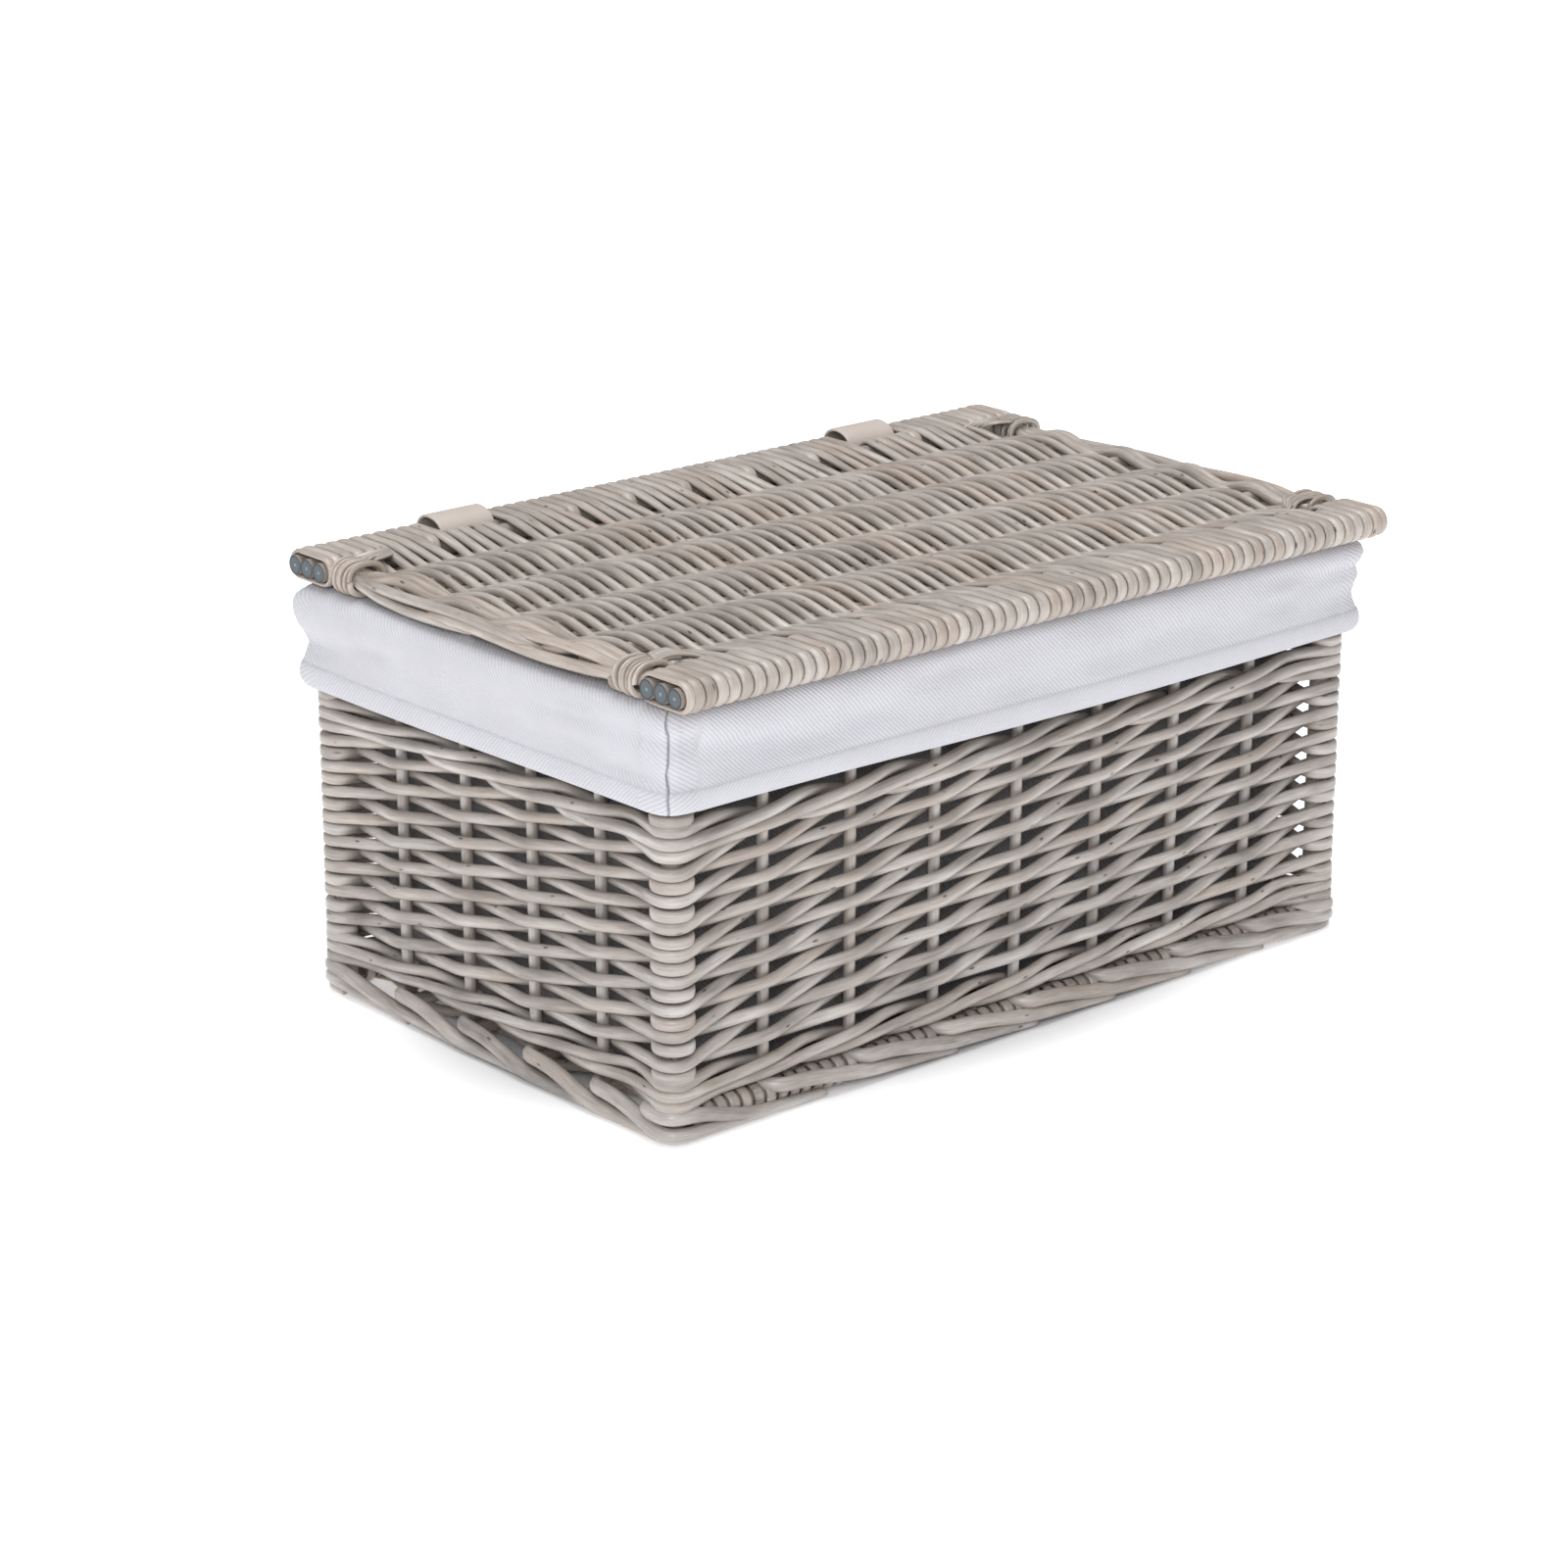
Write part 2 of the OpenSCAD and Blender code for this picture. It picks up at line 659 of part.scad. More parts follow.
corner_binding(-1, 1);  // lid_binding_back_left
corner_binding(1, 1);  // lid_binding_back_right
strap_lid_loop(-1);  // strap_lid_loop_left
strap_lid_loop(1);  // strap_lid_loop_right
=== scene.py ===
"""Sewing basket: grey-washed willow body, cotton liner with a turned-over cuff, flat lid on straps.

Lengths in this file are millimetres and become metres when a mesh is made. The middle of the lid
is over the origin, +X runs along the basket, -Y is its front and +Z is up.
"""
from __future__ import annotations

import logging  # noqa: E402
import math  # noqa: E402
from dataclasses import dataclass, field  # noqa: E402
from enum import Enum  # noqa: E402

import bpy  # noqa: E402
import numpy as np  # noqa: E402
from mathutils import Matrix, Vector  # noqa: E402


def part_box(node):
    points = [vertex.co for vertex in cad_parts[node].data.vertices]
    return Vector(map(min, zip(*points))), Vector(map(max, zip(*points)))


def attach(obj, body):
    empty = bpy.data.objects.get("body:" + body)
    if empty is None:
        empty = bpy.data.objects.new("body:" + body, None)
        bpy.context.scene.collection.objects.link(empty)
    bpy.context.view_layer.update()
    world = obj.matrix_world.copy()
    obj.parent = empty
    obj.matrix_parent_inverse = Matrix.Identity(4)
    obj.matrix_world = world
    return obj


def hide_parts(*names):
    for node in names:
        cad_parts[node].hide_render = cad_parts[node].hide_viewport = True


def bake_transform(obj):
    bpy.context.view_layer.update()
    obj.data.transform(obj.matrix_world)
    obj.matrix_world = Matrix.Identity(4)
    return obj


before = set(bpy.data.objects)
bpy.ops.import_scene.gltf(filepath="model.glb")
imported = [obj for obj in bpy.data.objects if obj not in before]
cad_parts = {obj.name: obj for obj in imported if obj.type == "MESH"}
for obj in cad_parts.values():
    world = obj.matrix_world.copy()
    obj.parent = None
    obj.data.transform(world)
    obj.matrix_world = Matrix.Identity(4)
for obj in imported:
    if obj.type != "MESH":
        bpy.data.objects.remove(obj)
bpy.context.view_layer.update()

LOG = logging.getLogger("sewing_basket")
MM = 0.001


class Body(Enum):
    """The two moving bodies."""

    BASKET = "basket"
    LID = "lid"


class Side(Enum):
    """The four walls, by the quarter turns that lead from the front wall to each."""

    FRONT = 0
    RIGHT = 1
    BACK = 2
    LEFT = 3

    @property
    def is_long(self) -> bool:
        """Whether it is the front or the back wall."""
        return self in (Side.FRONT, Side.BACK)


# ---------------------------------------------------------------- node helpers


def linear(code: str) -> tuple[float, float, float, float]:
    """Turn an sRGB hex colour into linear light.

    Args:
        code: Colour such as "#A89C90".

    Returns:
        Linear red, green, blue and an alpha of 1.
    """
    parts = [int(code[i : i + 2], 16) / 255 for i in (1, 3, 5)]
    red, green, blue = ((p / 12.92) if p <= 0.04045 else ((p + 0.055) / 1.055) ** 2.4 for p in parts)
    return (red, green, blue, 1.0)


def feed(
    material: bpy.types.Material,
    node: bpy.types.Node,
    links: dict[str | int, bpy.types.NodeSocket] | None = None,
    values: dict[str | int, object] | None = None,
) -> None:
    """Give a node its values and its incoming links.

    Args:
        material: The material whose node tree holds the node.
        node: The node.
        links: Input socket name or number to the output socket that feeds it.
        values: Input socket name or number to its value.
    """
    for socket, value in (values or {}).items():
        node.inputs[socket].default_value = value
    for socket, source in (links or {}).items():
        material.node_tree.links.new(source, node.inputs[socket])


def add_node(
    material: bpy.types.Material,
    kind: str,
    links: dict[str | int, bpy.types.NodeSocket] | None = None,
    values: dict[str | int, object] | None = None,
    **settings: object,
) -> bpy.types.Node:
    """Add one node to a material, with its settings, values and incoming links.

    Args:
        material: The material whose node tree gets the node.
        kind: Blender's node type name.
        links: Input socket name or number to the output socket that feeds it.
        values: Input socket name or number to its value.
        settings: Properties of the node itself.

    Returns:
        The new node.
    """
    node = material.node_tree.nodes.new(kind)
    for name, value in settings.items():
        setattr(node, name, value)
    feed(material, node, links, values)
    return node


def new_material(name: str) -> tuple[bpy.types.Material, bpy.types.Node]:
    """Make a node material that holds only its shader and output.

    Args:
        name: Name of the material.

    Returns:
        The material and its shader node.
    """
    material = bpy.data.materials.new(name)
    material.use_nodes = True
    return material, next(n for n in material.node_tree.nodes if n.type == "BSDF_PRINCIPLED")


def set_ramp(
    node: bpy.types.Node, stops: list[tuple[float, tuple[float, float, float, float]]]
) -> None:
    """Give a colour ramp its stops.

    Args:
        node: The colour ramp node.
        stops: Position and linear colour of each stop, in rising order.
    """
    ramp = node.color_ramp
    while len(ramp.elements) < len(stops):
        ramp.elements.new(0.5)
    for element, (place, colour) in zip(ramp.elements, stops):
        element.position = place
        element.color = colour


# ---------------------------------------------------------------- finishes


@dataclass(frozen=True)
class WashedWillow:
    """Peeled willow rod under an antique grey wash.

    The wash leaves a soft silvery sheen on a warm grey-brown skin, with fine streaks along the rod and
    small dark scars where side shoots grew.
    """

    name: str
    middle: str = "#AEA49B"
    light: str = "#C4BCB3"
    dark: str = "#91887F"
    warm: str = "#B7A393"
    scar: str = "#463A31"
    roughness: float = 0.36
    sheen_coat: float = 0.30
    along_rod: bool = True

    def build(self) -> bpy.types.Material:
        """Make the material.

        Returns:
            The finished material.
        """
        m, shader = new_material(self.name)
        if self.along_rod:
            # x runs along the rod, y and z lie across it, in metres
            place = add_node(m, "ShaderNodeAttribute", attribute_name="rod_place").outputs["Vector"]
            tint = add_node(m, "ShaderNodeAttribute", attribute_name="rod_tint").outputs["Fac"]
        else:
            place = add_node(m, "ShaderNodeTexCoord").outputs["Object"]
            tint = add_node(
                m, "ShaderNodeTexNoise", {"Vector": place}, {"Scale": 18.0, "Detail": 1.0}
            ).outputs["Fac"]
        # patches of thicker and thinner wash, 25 mm long and 6 mm across
        stretch = add_node(m, "ShaderNodeMapping", {0: place}, {"Scale": (40.0, 160.0, 160.0)})
        patch = add_node(
            m, "ShaderNodeTexNoise", {0: stretch.outputs[0]}, {"Scale": 1.0, "Detail": 3.0}
        )
        # bark streaks 8 mm long and 0.5 mm across; real ones are finer than the render shows
        streaks = add_node(m, "ShaderNodeMapping", {0: place}, {"Scale": (120.0, 2000.0, 2000.0)})
        streak = add_node(
            m, "ShaderNodeTexNoise", {0: streaks.outputs[0]}, {"Scale": 1.0, "Detail": 2.0}
        )
        base = add_node(m, "ShaderNodeValToRGB", {0: patch.outputs["Fac"]})
        set_ramp(
            base,
            [(0.30, linear(self.dark)), (0.50, linear(self.middle)), (0.72, linear(self.light))],
        )
        warmth = add_node(
            m, "ShaderNodeMapRange", {0: tint}, {"From Min": 0.35, "From Max": 1.0, "To Max": 0.42}
        )
        warmed = add_node(
            m, "ShaderNodeMix", {0: warmth.outputs[0], 6: base.outputs[0]},
            {7: linear(self.warm)}, data_type="RGBA",
        )
        level = add_node(
            m, "ShaderNodeMapRange", {0: streak.outputs["Fac"]},
            {"From Min": 0.25, "From Max": 0.75, "To Min": 0.80, "To Max": 1.16},
        )
        streaked = add_node(
            m, "ShaderNodeMix", {6: warmed.outputs[2], 7: level.outputs[0]}, {0: 1.0},
            data_type="RGBA", blend_type="MULTIPLY",
        )
        # one scar every 30 mm or so, about 1 mm long
        scars = add_node(m, "ShaderNodeMapping", {0: place}, {"Scale": (85.0, 230.0, 230.0)})
        cell = add_node(m, "ShaderNodeTexVoronoi", {0: scars.outputs[0]}, {"Scale": 1.0})
        scar = add_node(
            m, "ShaderNodeMapRange", {0: cell.outputs["Distance"]},
            {"From Min": 0.05, "From Max": 0.12, "To Min": 0.85, "To Max": 0.0},
        )
        skin = add_node(
            m, "ShaderNodeMix", {0: scar.outputs[0], 6: streaked.outputs[2]},
            {7: linear(self.scar)}, data_type="RGBA",
        )
        gloss = add_node(
            m, "ShaderNodeMapRange", {0: patch.outputs["Fac"]},
            {"From Min": 0.3, "From Max": 0.7, "To Min": self.roughness + 0.10,
             "To Max": self.roughness - 0.08},
        )
        height = add_node(
            m, "ShaderNodeMath", {0: streak.outputs["Fac"], 1: scar.outputs[0]}, operation="SUBTRACT"
        )
        bump = add_node(
            m, "ShaderNodeBump", {"Height": height.outputs[0]}, {"Strength": 0.22, "Distance": 0.0004}
        )
        feed(
            m, shader,
            {"Base Color": skin.outputs[2], "Roughness": gloss.outputs[0], "Normal": bump.outputs[0]},
            {"IOR": 1.5, "Coat Weight": self.sheen_coat, "Coat Roughness": 0.22},
        )
        return m


@dataclass(frozen=True)
class SawnRodEnd:
    """Edge rod of the lid: washed skin, and sawn ends that the wash has turned slate grey.

    The end grain drinks the wash, so it looks dark and matt with a pale dot of pith.
    """

    name: str
    skin: str = "#8F857B"
    face: str = "#565F63"
    rim: str = "#343B3F"
    pith: str = "#8E9699"
    rod_pitch: float = 6.5
    bundle_y: float = 89.5
    middle_z: float = 146.05

    def build(self) -> bpy.types.Material:
        """Make the material.

        Returns:
            The finished material.
        """
        m, shader = new_material(self.name)
        place = add_node(m, "ShaderNodeTexCoord").outputs["Object"]
        split = add_node(m, "ShaderNodeSeparateXYZ", {0: place})
        # each rod of a bundle is one step of the y axis, so that the rings centre on every rod
        first, pitch = (self.bundle_y - 1.5 * self.rod_pitch) * MM, self.rod_pitch * MM
        away = add_node(m, "ShaderNodeMath", {0: split.outputs[1]}, operation="ABSOLUTE")
        shifted = add_node(m, "ShaderNodeMath", {0: away.outputs[0]}, {1: first}, operation="SUBTRACT")
        turns = add_node(m, "ShaderNodeMath", {0: shifted.outputs[0]}, {1: pitch}, operation="DIVIDE")
        part = add_node(m, "ShaderNodeMath", {0: turns.outputs[0]}, operation="FRACT")
        off_y = add_node(m, "ShaderNodeMath", {0: part.outputs[0]}, {1: 0.5}, operation="SUBTRACT")
        off_z = add_node(
            m, "ShaderNodeMath", {0: split.outputs[2]}, {1: self.middle_z * MM}, operation="SUBTRACT"
        )
        over = add_node(m, "ShaderNodeMath", {0: off_z.outputs[0]}, {1: pitch}, operation="DIVIDE")
        flat = add_node(m, "ShaderNodeCombineXYZ", {0: off_y.outputs[0], 1: over.outputs[0]})
        radius = add_node(m, "ShaderNodeVectorMath", {0: flat.outputs[0]}, operation="LENGTH")
        fuzz = add_node(m, "ShaderNodeTexNoise", {0: place}, {"Scale": 900.0, "Detail": 2.0})
        rough = add_node(
            m, "ShaderNodeMath", {0: fuzz.outputs["Fac"]}, {1: 0.10, 2: -0.05}, operation="MULTIPLY_ADD"
        )
        ring = add_node(
            m, "ShaderNodeMath", {0: radius.outputs["Value"], 1: rough.outputs[0]}, operation="ADD"
        )
        grain = add_node(m, "ShaderNodeValToRGB", {0: ring.outputs[0]})
        set_ramp(
            grain,
            [(0.04, linear(self.pith)), (0.11, linear(self.face)), (0.36, linear(self.face)),
             (0.44, linear(self.rim))],
        )
        side = add_node(m, "ShaderNodeNewGeometry")
        faces = add_node(m, "ShaderNodeSeparateXYZ", {0: side.outputs["True Normal"]})
        end = add_node(m, "ShaderNodeMath", {0: faces.outputs[0]}, operation="ABSOLUTE")
        sawn = add_node(m, "ShaderNodeMath", {0: end.outputs[0]}, {1: 0.7}, operation="GREATER_THAN")
        mixed = add_node(
            m, "ShaderNodeMix", {0: sawn.outputs[0], 7: grain.outputs[0]},
            {6: linear(self.skin)}, data_type="RGBA",
        )
        bump = add_node(
            m, "ShaderNodeBump", {"Height": fuzz.outputs["Fac"]}, {"Strength": 0.3, "Distance": 0.0005}
        )
        feed(
            m, shader, {"Base Color": mixed.outputs[2], "Normal": bump.outputs[0]}, {"Roughness": 0.6}
        )
        return m


@dataclass(frozen=True)
class CottonTwill:
    """White cotton twill, woven.

    Close diagonal ribs give the plain white cloth a faint grain, with a soft, quite matt surface.
    """

    name: str
    thread: str = "#CFCED2"
    hollow: str = "#BDBCC1"
    # grey of the seams, which paints the shade in their grooves and corners
    seam: str = "#74757C"
    rib: float = 1.15

    def build(self) -> bpy.types.Material:
        """Make the material. Its UV map is in metres of cloth.

        Returns:
            The finished material.
        """
        m, shader = new_material(self.name)
        place = add_node(m, "ShaderNodeUVMap", uv_map="cloth").outputs[0]
        hem = add_node(m, "ShaderNodeAttribute", attribute_name="hem").outputs["Fac"]
        # how much painted seam shade each point takes
        seam = add_node(m, "ShaderNodeAttribute", attribute_name="seam").outputs["Fac"]
        # real twill has about 0.6 mm between its ribs; drawn twice as coarse so that it shows
        split = add_node(m, "ShaderNodeSeparateXYZ", {0: place})
        flip = add_node(m, "ShaderNodeMath", {0: hem}, {1: -2.0, 2: 1.0}, operation="MULTIPLY_ADD")
        across = add_node(
            m, "ShaderNodeMath", {0: split.outputs[0], 1: flip.outputs[0]}, operation="MULTIPLY"
        )
        cloth = add_node(m, "ShaderNodeCombineXYZ", {0: across.outputs[0], 1: split.outputs[1]})
        ribs = add_node(
            m, "ShaderNodeTexWave", {0: cloth.outputs[0]},
            {"Scale": 2 * math.pi / 10 / (self.rib * MM) / math.sqrt(2), "Distortion": 0.8,
             "Detail": 1.0, "Detail Scale": 2.0},
            bands_direction="DIAGONAL",
        )
        # single threads every 0.7 mm, and clouds of 22 mm where the cloth was handled
        threads = add_node(
            m, "ShaderNodeTexNoise", {0: cloth.outputs[0]}, {"Scale": 1500.0, "Detail": 1.0}
        )
        cloudy = add_node(
            m, "ShaderNodeTexNoise", {0: cloth.outputs[0]}, {"Scale": 45.0, "Detail": 2.0}
        )
        weave = add_node(
            m, "ShaderNodeMath", {0: threads.outputs["Fac"], 2: ribs.outputs["Fac"]}, {1: 0.7},
            operation="MULTIPLY_ADD",
        )
        tone = add_node(
            m, "ShaderNodeMapRange", {0: weave.outputs[0]}, {"From Min": 0.2, "From Max": 1.2}
        )
        shade = add_node(
            m, "ShaderNodeMix", {0: tone.outputs[0]},
            {6: linear(self.hollow), 7: linear(self.thread)}, data_type="RGBA",
        )
        cloud = add_node(
            m, "ShaderNodeMapRange", {0: cloudy.outputs["Fac"]},
            {"From Min": 0.3, "From Max": 0.7, "To Min": 0.965, "To Max": 1.02},
        )
        soft = add_node(
            m, "ShaderNodeMix", {6: shade.outputs[2], 7: cloud.outputs[0]}, {0: 1.0},
            data_type="RGBA", blend_type="MULTIPLY",
        )
        # painted shade along the seams
        stitched = add_node(
            m, "ShaderNodeMix", {0: seam, 6: soft.outputs[2]}, {7: linear(self.seam)}, data_type="RGBA"
        )
        bump = add_node(
            m, "ShaderNodeBump", {"Height": weave.outputs[0]}, {"Strength": 0.35, "Distance": 0.0003}
        )
        feed(
            m, shader, {"Base Color": stitched.outputs[2], "Normal": bump.outputs[0]},
            {"Roughness": 0.92, "Specular IOR Level": 0.25, "Sheen Weight": 0.25,
             "Sheen Roughness": 0.5},
        )
        return m


@dataclass(frozen=True)
class CoatedStrap:
    """Coated leather-like band, calendered smooth.

    The coat gives an even beige with a low sheen and a barely visible pebble.
    """

    name: str
    face: str = "#C9BDB3"
    worn: str = "#BDB1A7"

    def build(self) -> bpy.types.Material:
        """Make the material.

        Returns:
            The finished material.
        """
        m, shader = new_material(self.name)
        place = add_node(m, "ShaderNodeTexCoord").outputs["Object"]
        # pebbles of 0.7 mm
        pebble = add_node(m, "ShaderNodeTexVoronoi", {0: place}, {"Scale": 1400.0})
        cloud = add_node(m, "ShaderNodeTexNoise", {0: place}, {"Scale": 90.0, "Detail": 3.0})
        tone = add_node(
            m, "ShaderNodeMix", {0: cloud.outputs["Fac"]},
            {6: linear(self.worn), 7: linear(self.face)}, data_type="RGBA",
        )
        bump = add_node(
            m, "ShaderNodeBump", {"Height": pebble.outputs["Distance"]},
            {"Strength": 0.10, "Distance": 0.0002},
        )
        feed(
            m, shader, {"Base Color": tone.outputs[2], "Normal": bump.outputs[0]},
            {"Roughness": 0.45, "IOR": 1.48},
        )
        return m


@dataclass(frozen=True)
class PaleFloor:
    """Matt white studio floor that glows: painted light that keeps it white and lights the basket from
    below, dimmer near the basket so that its shadow shows, and none under its foot.
    """

    name: str = "glowing_white_studio_floor"
    tone: str = "#FFFFFF"
    faint: str = "#FDFDFE"
    glow_near: float = 0.34
    glow_far: float = 0.78

    def build(self) -> bpy.types.Material:
        """Make the material.

        Returns:
            The finished material.
        """
        m, shader = new_material(self.name)
        place = add_node(m, "ShaderNodeTexCoord").outputs["Object"]
        noise = add_node(m, "ShaderNodeTexNoise", {0: place}, {"Scale": 3.0})
        tone = add_node(
            m, "ShaderNodeMix", {0: noise.outputs["Fac"]},
            {6: linear(self.faint), 7: linear(self.tone)}, data_type="RGBA",
        )
        # distance from the middle in metres, stretched so that the basket's foot is nearly round; the
        # painted glow grows with it
        foot = add_node(m, "ShaderNodeMapping", {0: place}, {"Scale": (1.0, 1.65, 1.0)})
        far = add_node(m, "ShaderNodeVectorMath", {0: foot.outputs[0]}, operation="LENGTH")
        glow_ramp = add_node(m, "ShaderNodeValToRGB", {0: far.outputs["Value"]})
        # painted light: no glow under the basket's foot, a weak one beside it, the most far off
        stops = ((0.15, 0.0), (0.18, self.glow_near), (0.75, self.glow_far))
        set_ramp(glow_ramp, [(away, (glow, glow, glow, 1.0)) for away, glow in stops])
        feed(
            m, shader, {"Base Color": tone.outputs[2], "Emission Strength": glow_ramp.outputs[0]},
            {"Roughness": 0.9, "Specular IOR Level": 0.1, "Emission Color": linear(self.tone)},
        )
        return m


# ---------------------------------------------------------------- making pieces


def new_piece(
    name: str, points: np.ndarray, faces: list[tuple[int, ...]], *finishes: bpy.types.Material
) -> bpy.types.Object:
    """Make an object from points and faces, smooth across its four-sided faces.

    Args:
        name: Name of the piece.
        points: Its points in millimetres.
        faces: Numbers of the points of each face.
        finishes: Its materials, of which all the faces get the first.

    Returns:
        The object, at the origin.
    """
    mesh = bpy.data.meshes.new(name)
    mesh.from_pydata((points.reshape(-1, 3) * MM).tolist(), [], faces)
    mesh.polygons.foreach_set("use_smooth", [len(f) == 4 for f in faces])
    for finish in finishes:
        mesh.materials.append(finish)
    mesh.update()
    piece = bpy.data.objects.new(name, mesh)
    bpy.context.scene.collection.objects.link(piece)
    return piece


def mark(piece: bpy.types.Object, name: str, values: np.ndarray) -> None:
    """Give every point of a piece a number, or a vector, that its finish reads.

    Args:
        piece: The piece.
        name: Name that the finish reads.
        values: A number for each point, or three in each row.
    """
    kind, key = ("FLOAT_VECTOR", "vector") if values.shape[-1] == 3 else ("FLOAT", "value")
    piece.data.attributes.new(name, kind, "POINT").data.foreach_set(key, values.ravel())


def pick(piece: bpy.types.Object) -> None:
    """Select a piece alone and make it active, for the operators that follow.

    Args:
        piece: The piece.
    """
    bpy.ops.object.select_all(action="DESELECT")
    piece.select_set(True)
    bpy.context.view_layer.objects.active = piece


def settle(
    piece: bpy.types.Object, body: Body, nodes: tuple[str, ...]
) -> bpy.types.Object:
    """Give a piece its body, and hide the CAD nodes that it stands for.

    Args:
        piece: The finished object.
        body: Body that it moves with.
        nodes: CAD nodes that it stands for.

    Returns:
        The same object.
    """
    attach(piece, body.value)
    if nodes:
        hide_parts(*nodes)
    LOG.info("%s: %d faces, moves with the %s", piece.name, len(piece.data.polygons), body.value)
    return piece


def dress(node: bpy.types.Object, finish: bpy.types.Material) -> None:
    """Give a CAD node a finish, its shape kept.

    Args:
        node: The CAD node's object.
        finish: Its new material.
    """
    node.data.materials.clear()
    node.data.materials.append(finish)
    LOG.info("%s: kept, with the finish %s", node.name, finish.name)


# ---------------------------------------------------------------- rods


def eased(x: np.ndarray, knots: np.ndarray, heights: np.ndarray, straight: float) -> np.ndarray:
    """Run between knots, partly straight as a stiff rod and partly eased as it bends.

    Args:
        x: Places to work out.
        knots: Rising places of the knots.
        heights: Value at each knot.
        straight: 1 for straight runs, 0 for a full cosine.

    Returns:
        The value at each place.
    """
    i = np.clip(np.searchsorted(knots, x, side="right") - 1, 0, len(knots) - 2)
    t = (x - knots[i]) / (knots[i + 1] - knots[i])
    t = straight * t + (1 - straight) * (0.5 - 0.5 * np.cos(np.pi * np.clip(t, 0, 1)))
    return heights[i] * (1 - t) + heights[i + 1] * t


def rounded(path: np.ndarray, passes: int = 2) -> np.ndarray:
    """Take the corners off a path, with its two ends kept.

    Args:
        path: Points along it.
        passes: How many times it is smoothed.

    Returns:
        The smoothed points.
    """
    for _ in range(passes):
        inner = 0.25 * path[:-2] + 0.5 * path[1:-1] + 0.25 * path[2:]
        path = np.vstack([path[:1], inner, path[-1:]])
    return path


def through(points: list[tuple[float, float, float]], step: float) -> np.ndarray:
    """Lay a smooth curve through points.

    Args:
        points: Points it passes.
        step: Distance between the points of the result.

    Returns:
        Points along the curve.
    """
    p = np.array(points, float)
    p = np.vstack([2 * p[0] - p[1], p, 2 * p[-1] - p[-2]])
    rows = []
    for a, b, c, d in zip(p[:-3], p[1:-2], p[2:-1], p[3:]):
        t = np.linspace(0, 1, max(2, int(np.linalg.norm(c - b) / step) + 1), endpoint=False)[:, None]
        square, cube = (2 * a - 5 * b + 4 * c - d) * t**2, (3 * b - a - 3 * c + d) * t**3
        rows.append(0.5 * (2 * b + (c - a) * t + square + cube))
    return np.vstack(rows + [p[-2:-1]])


@dataclass
class RodWork:
    """Rods gathered into one mesh, each with its own tint, taper and place along the rod."""

    name: str
    sides: int = 10
    seed: int = 1
    verts: list[np.ndarray] = field(default_factory=list)
    faces: list[tuple[int, ...]] = field(default_factory=list)
    place: list[np.ndarray] = field(default_factory=list)
    tint: list[np.ndarray] = field(default_factory=list)
    count: int = 0

    def lay(
        self,
        path: np.ndarray,
        wide: float | np.ndarray,
        tall: float | np.ndarray | None = None,
        up: tuple[float, float, float] = (0.0, 0.0, 1.0),
        closed: bool = False,
        wander: float = 0.04,
        boxy: float | np.ndarray = 0.0,
    ) -> None:
        """Lay one rod along a path.

        Args:
            path: Points of its middle line.
            wide: Half width across, at each point or all along.
            tall: Half height along the up direction, as wide if None.
            up: Direction that the section's height leans to.
            closed: Whether the rod joins its own start.
            wander: Share by which the thickness varies.
            boxy: 0 for a round section, towards 1 for a square one.
        """
        rng = np.random.default_rng(self.seed * 7919 + len(self.tint))
        path = np.asarray(path, float)
        n = len(path)
        if closed:
            tangent = np.roll(path, -1, 0) - np.roll(path, 1, 0)
        else:
            tangent = np.gradient(path, axis=0)
        tangent /= np.linalg.norm(tangent, axis=1)[:, None] + 1e-12
        across = np.cross(tangent, np.array(up, float))
        across /= np.linalg.norm(across, axis=1)[:, None] + 1e-12
        over = np.cross(across, tangent)
        length = np.concatenate([[0], np.cumsum(np.linalg.norm(np.diff(path, axis=0), axis=1))])
        phase = rng.uniform(0, 6.28, 3)
        sway = 1 + wander * (np.sin(length / 23 + phase[0]) + np.sin(length / 9.1 + phase[1])) / 2
        if closed:
            sway = np.ones(n)
        w = np.broadcast_to(np.asarray(wide, float), (n,)) * sway
        h = w if tall is None else np.broadcast_to(np.asarray(tall, float), (n,)) * sway
        angle = np.linspace(0, 2 * np.pi, self.sides, endpoint=False) + np.pi / self.sides
        power = 1 - np.broadcast_to(np.asarray(boxy, float), (n,))[:, None]
        c = (np.sign(np.cos(angle)) * np.abs(np.cos(angle)) ** power)[..., None]
        s = (np.sign(np.sin(angle)) * np.abs(np.sin(angle)) ** power)[..., None]
        ring = path[:, None] + across[:, None] * w[:, None, None] * c
        ring = ring + over[:, None] * h[:, None, None] * s
        local = np.zeros((n, self.sides, 3))
        local[..., 0] = (length + rng.uniform(0, 4000))[:, None]
        local[..., 1] = w[:, None] * np.cos(angle) + rng.uniform(0, 900)
        local[..., 2] = h[:, None] * np.sin(angle)
        first = self.count
        k = self.sides
        rows = n if closed else n - 1
        for i in range(rows):
            a, b = first + i * k, first + ((i + 1) % n) * k
            for j in range(k):
                q = (j + 1) % k
                self.faces.append((a + j, a + q, b + q, b + j))
        if not closed:
            self.faces.append(tuple(first + j for j in reversed(range(k))))
            self.faces.append(tuple(first + (n - 1) * k + j for j in range(k)))
        self.verts.append(ring.reshape(-1, 3))
        self.place.append(local.reshape(-1, 3) * MM)
        self.tint.append(np.full(n * k, rng.uniform()))
        self.count += n * k

    def make(
        self, finish: bpy.types.Material, body: Body, nodes: tuple[str, ...]
    ) -> bpy.types.Object:
        """Turn the gathered rods into an object that stands for its CAD nodes.

        Args:
            finish: Material of the rods.
            body: Body that they move with.
            nodes: CAD nodes that the object stands for.

        Returns:
            The object.
        """
        piece = new_piece(self.name, np.vstack(self.verts), self.faces, finish)
        mark(piece, "rod_place", np.vstack(self.place))
        mark(piece, "rod_tint", np.concatenate(self.tint))
        return settle(piece, body, nodes)


# ---------------------------------------------------------------- the body's loop of posts


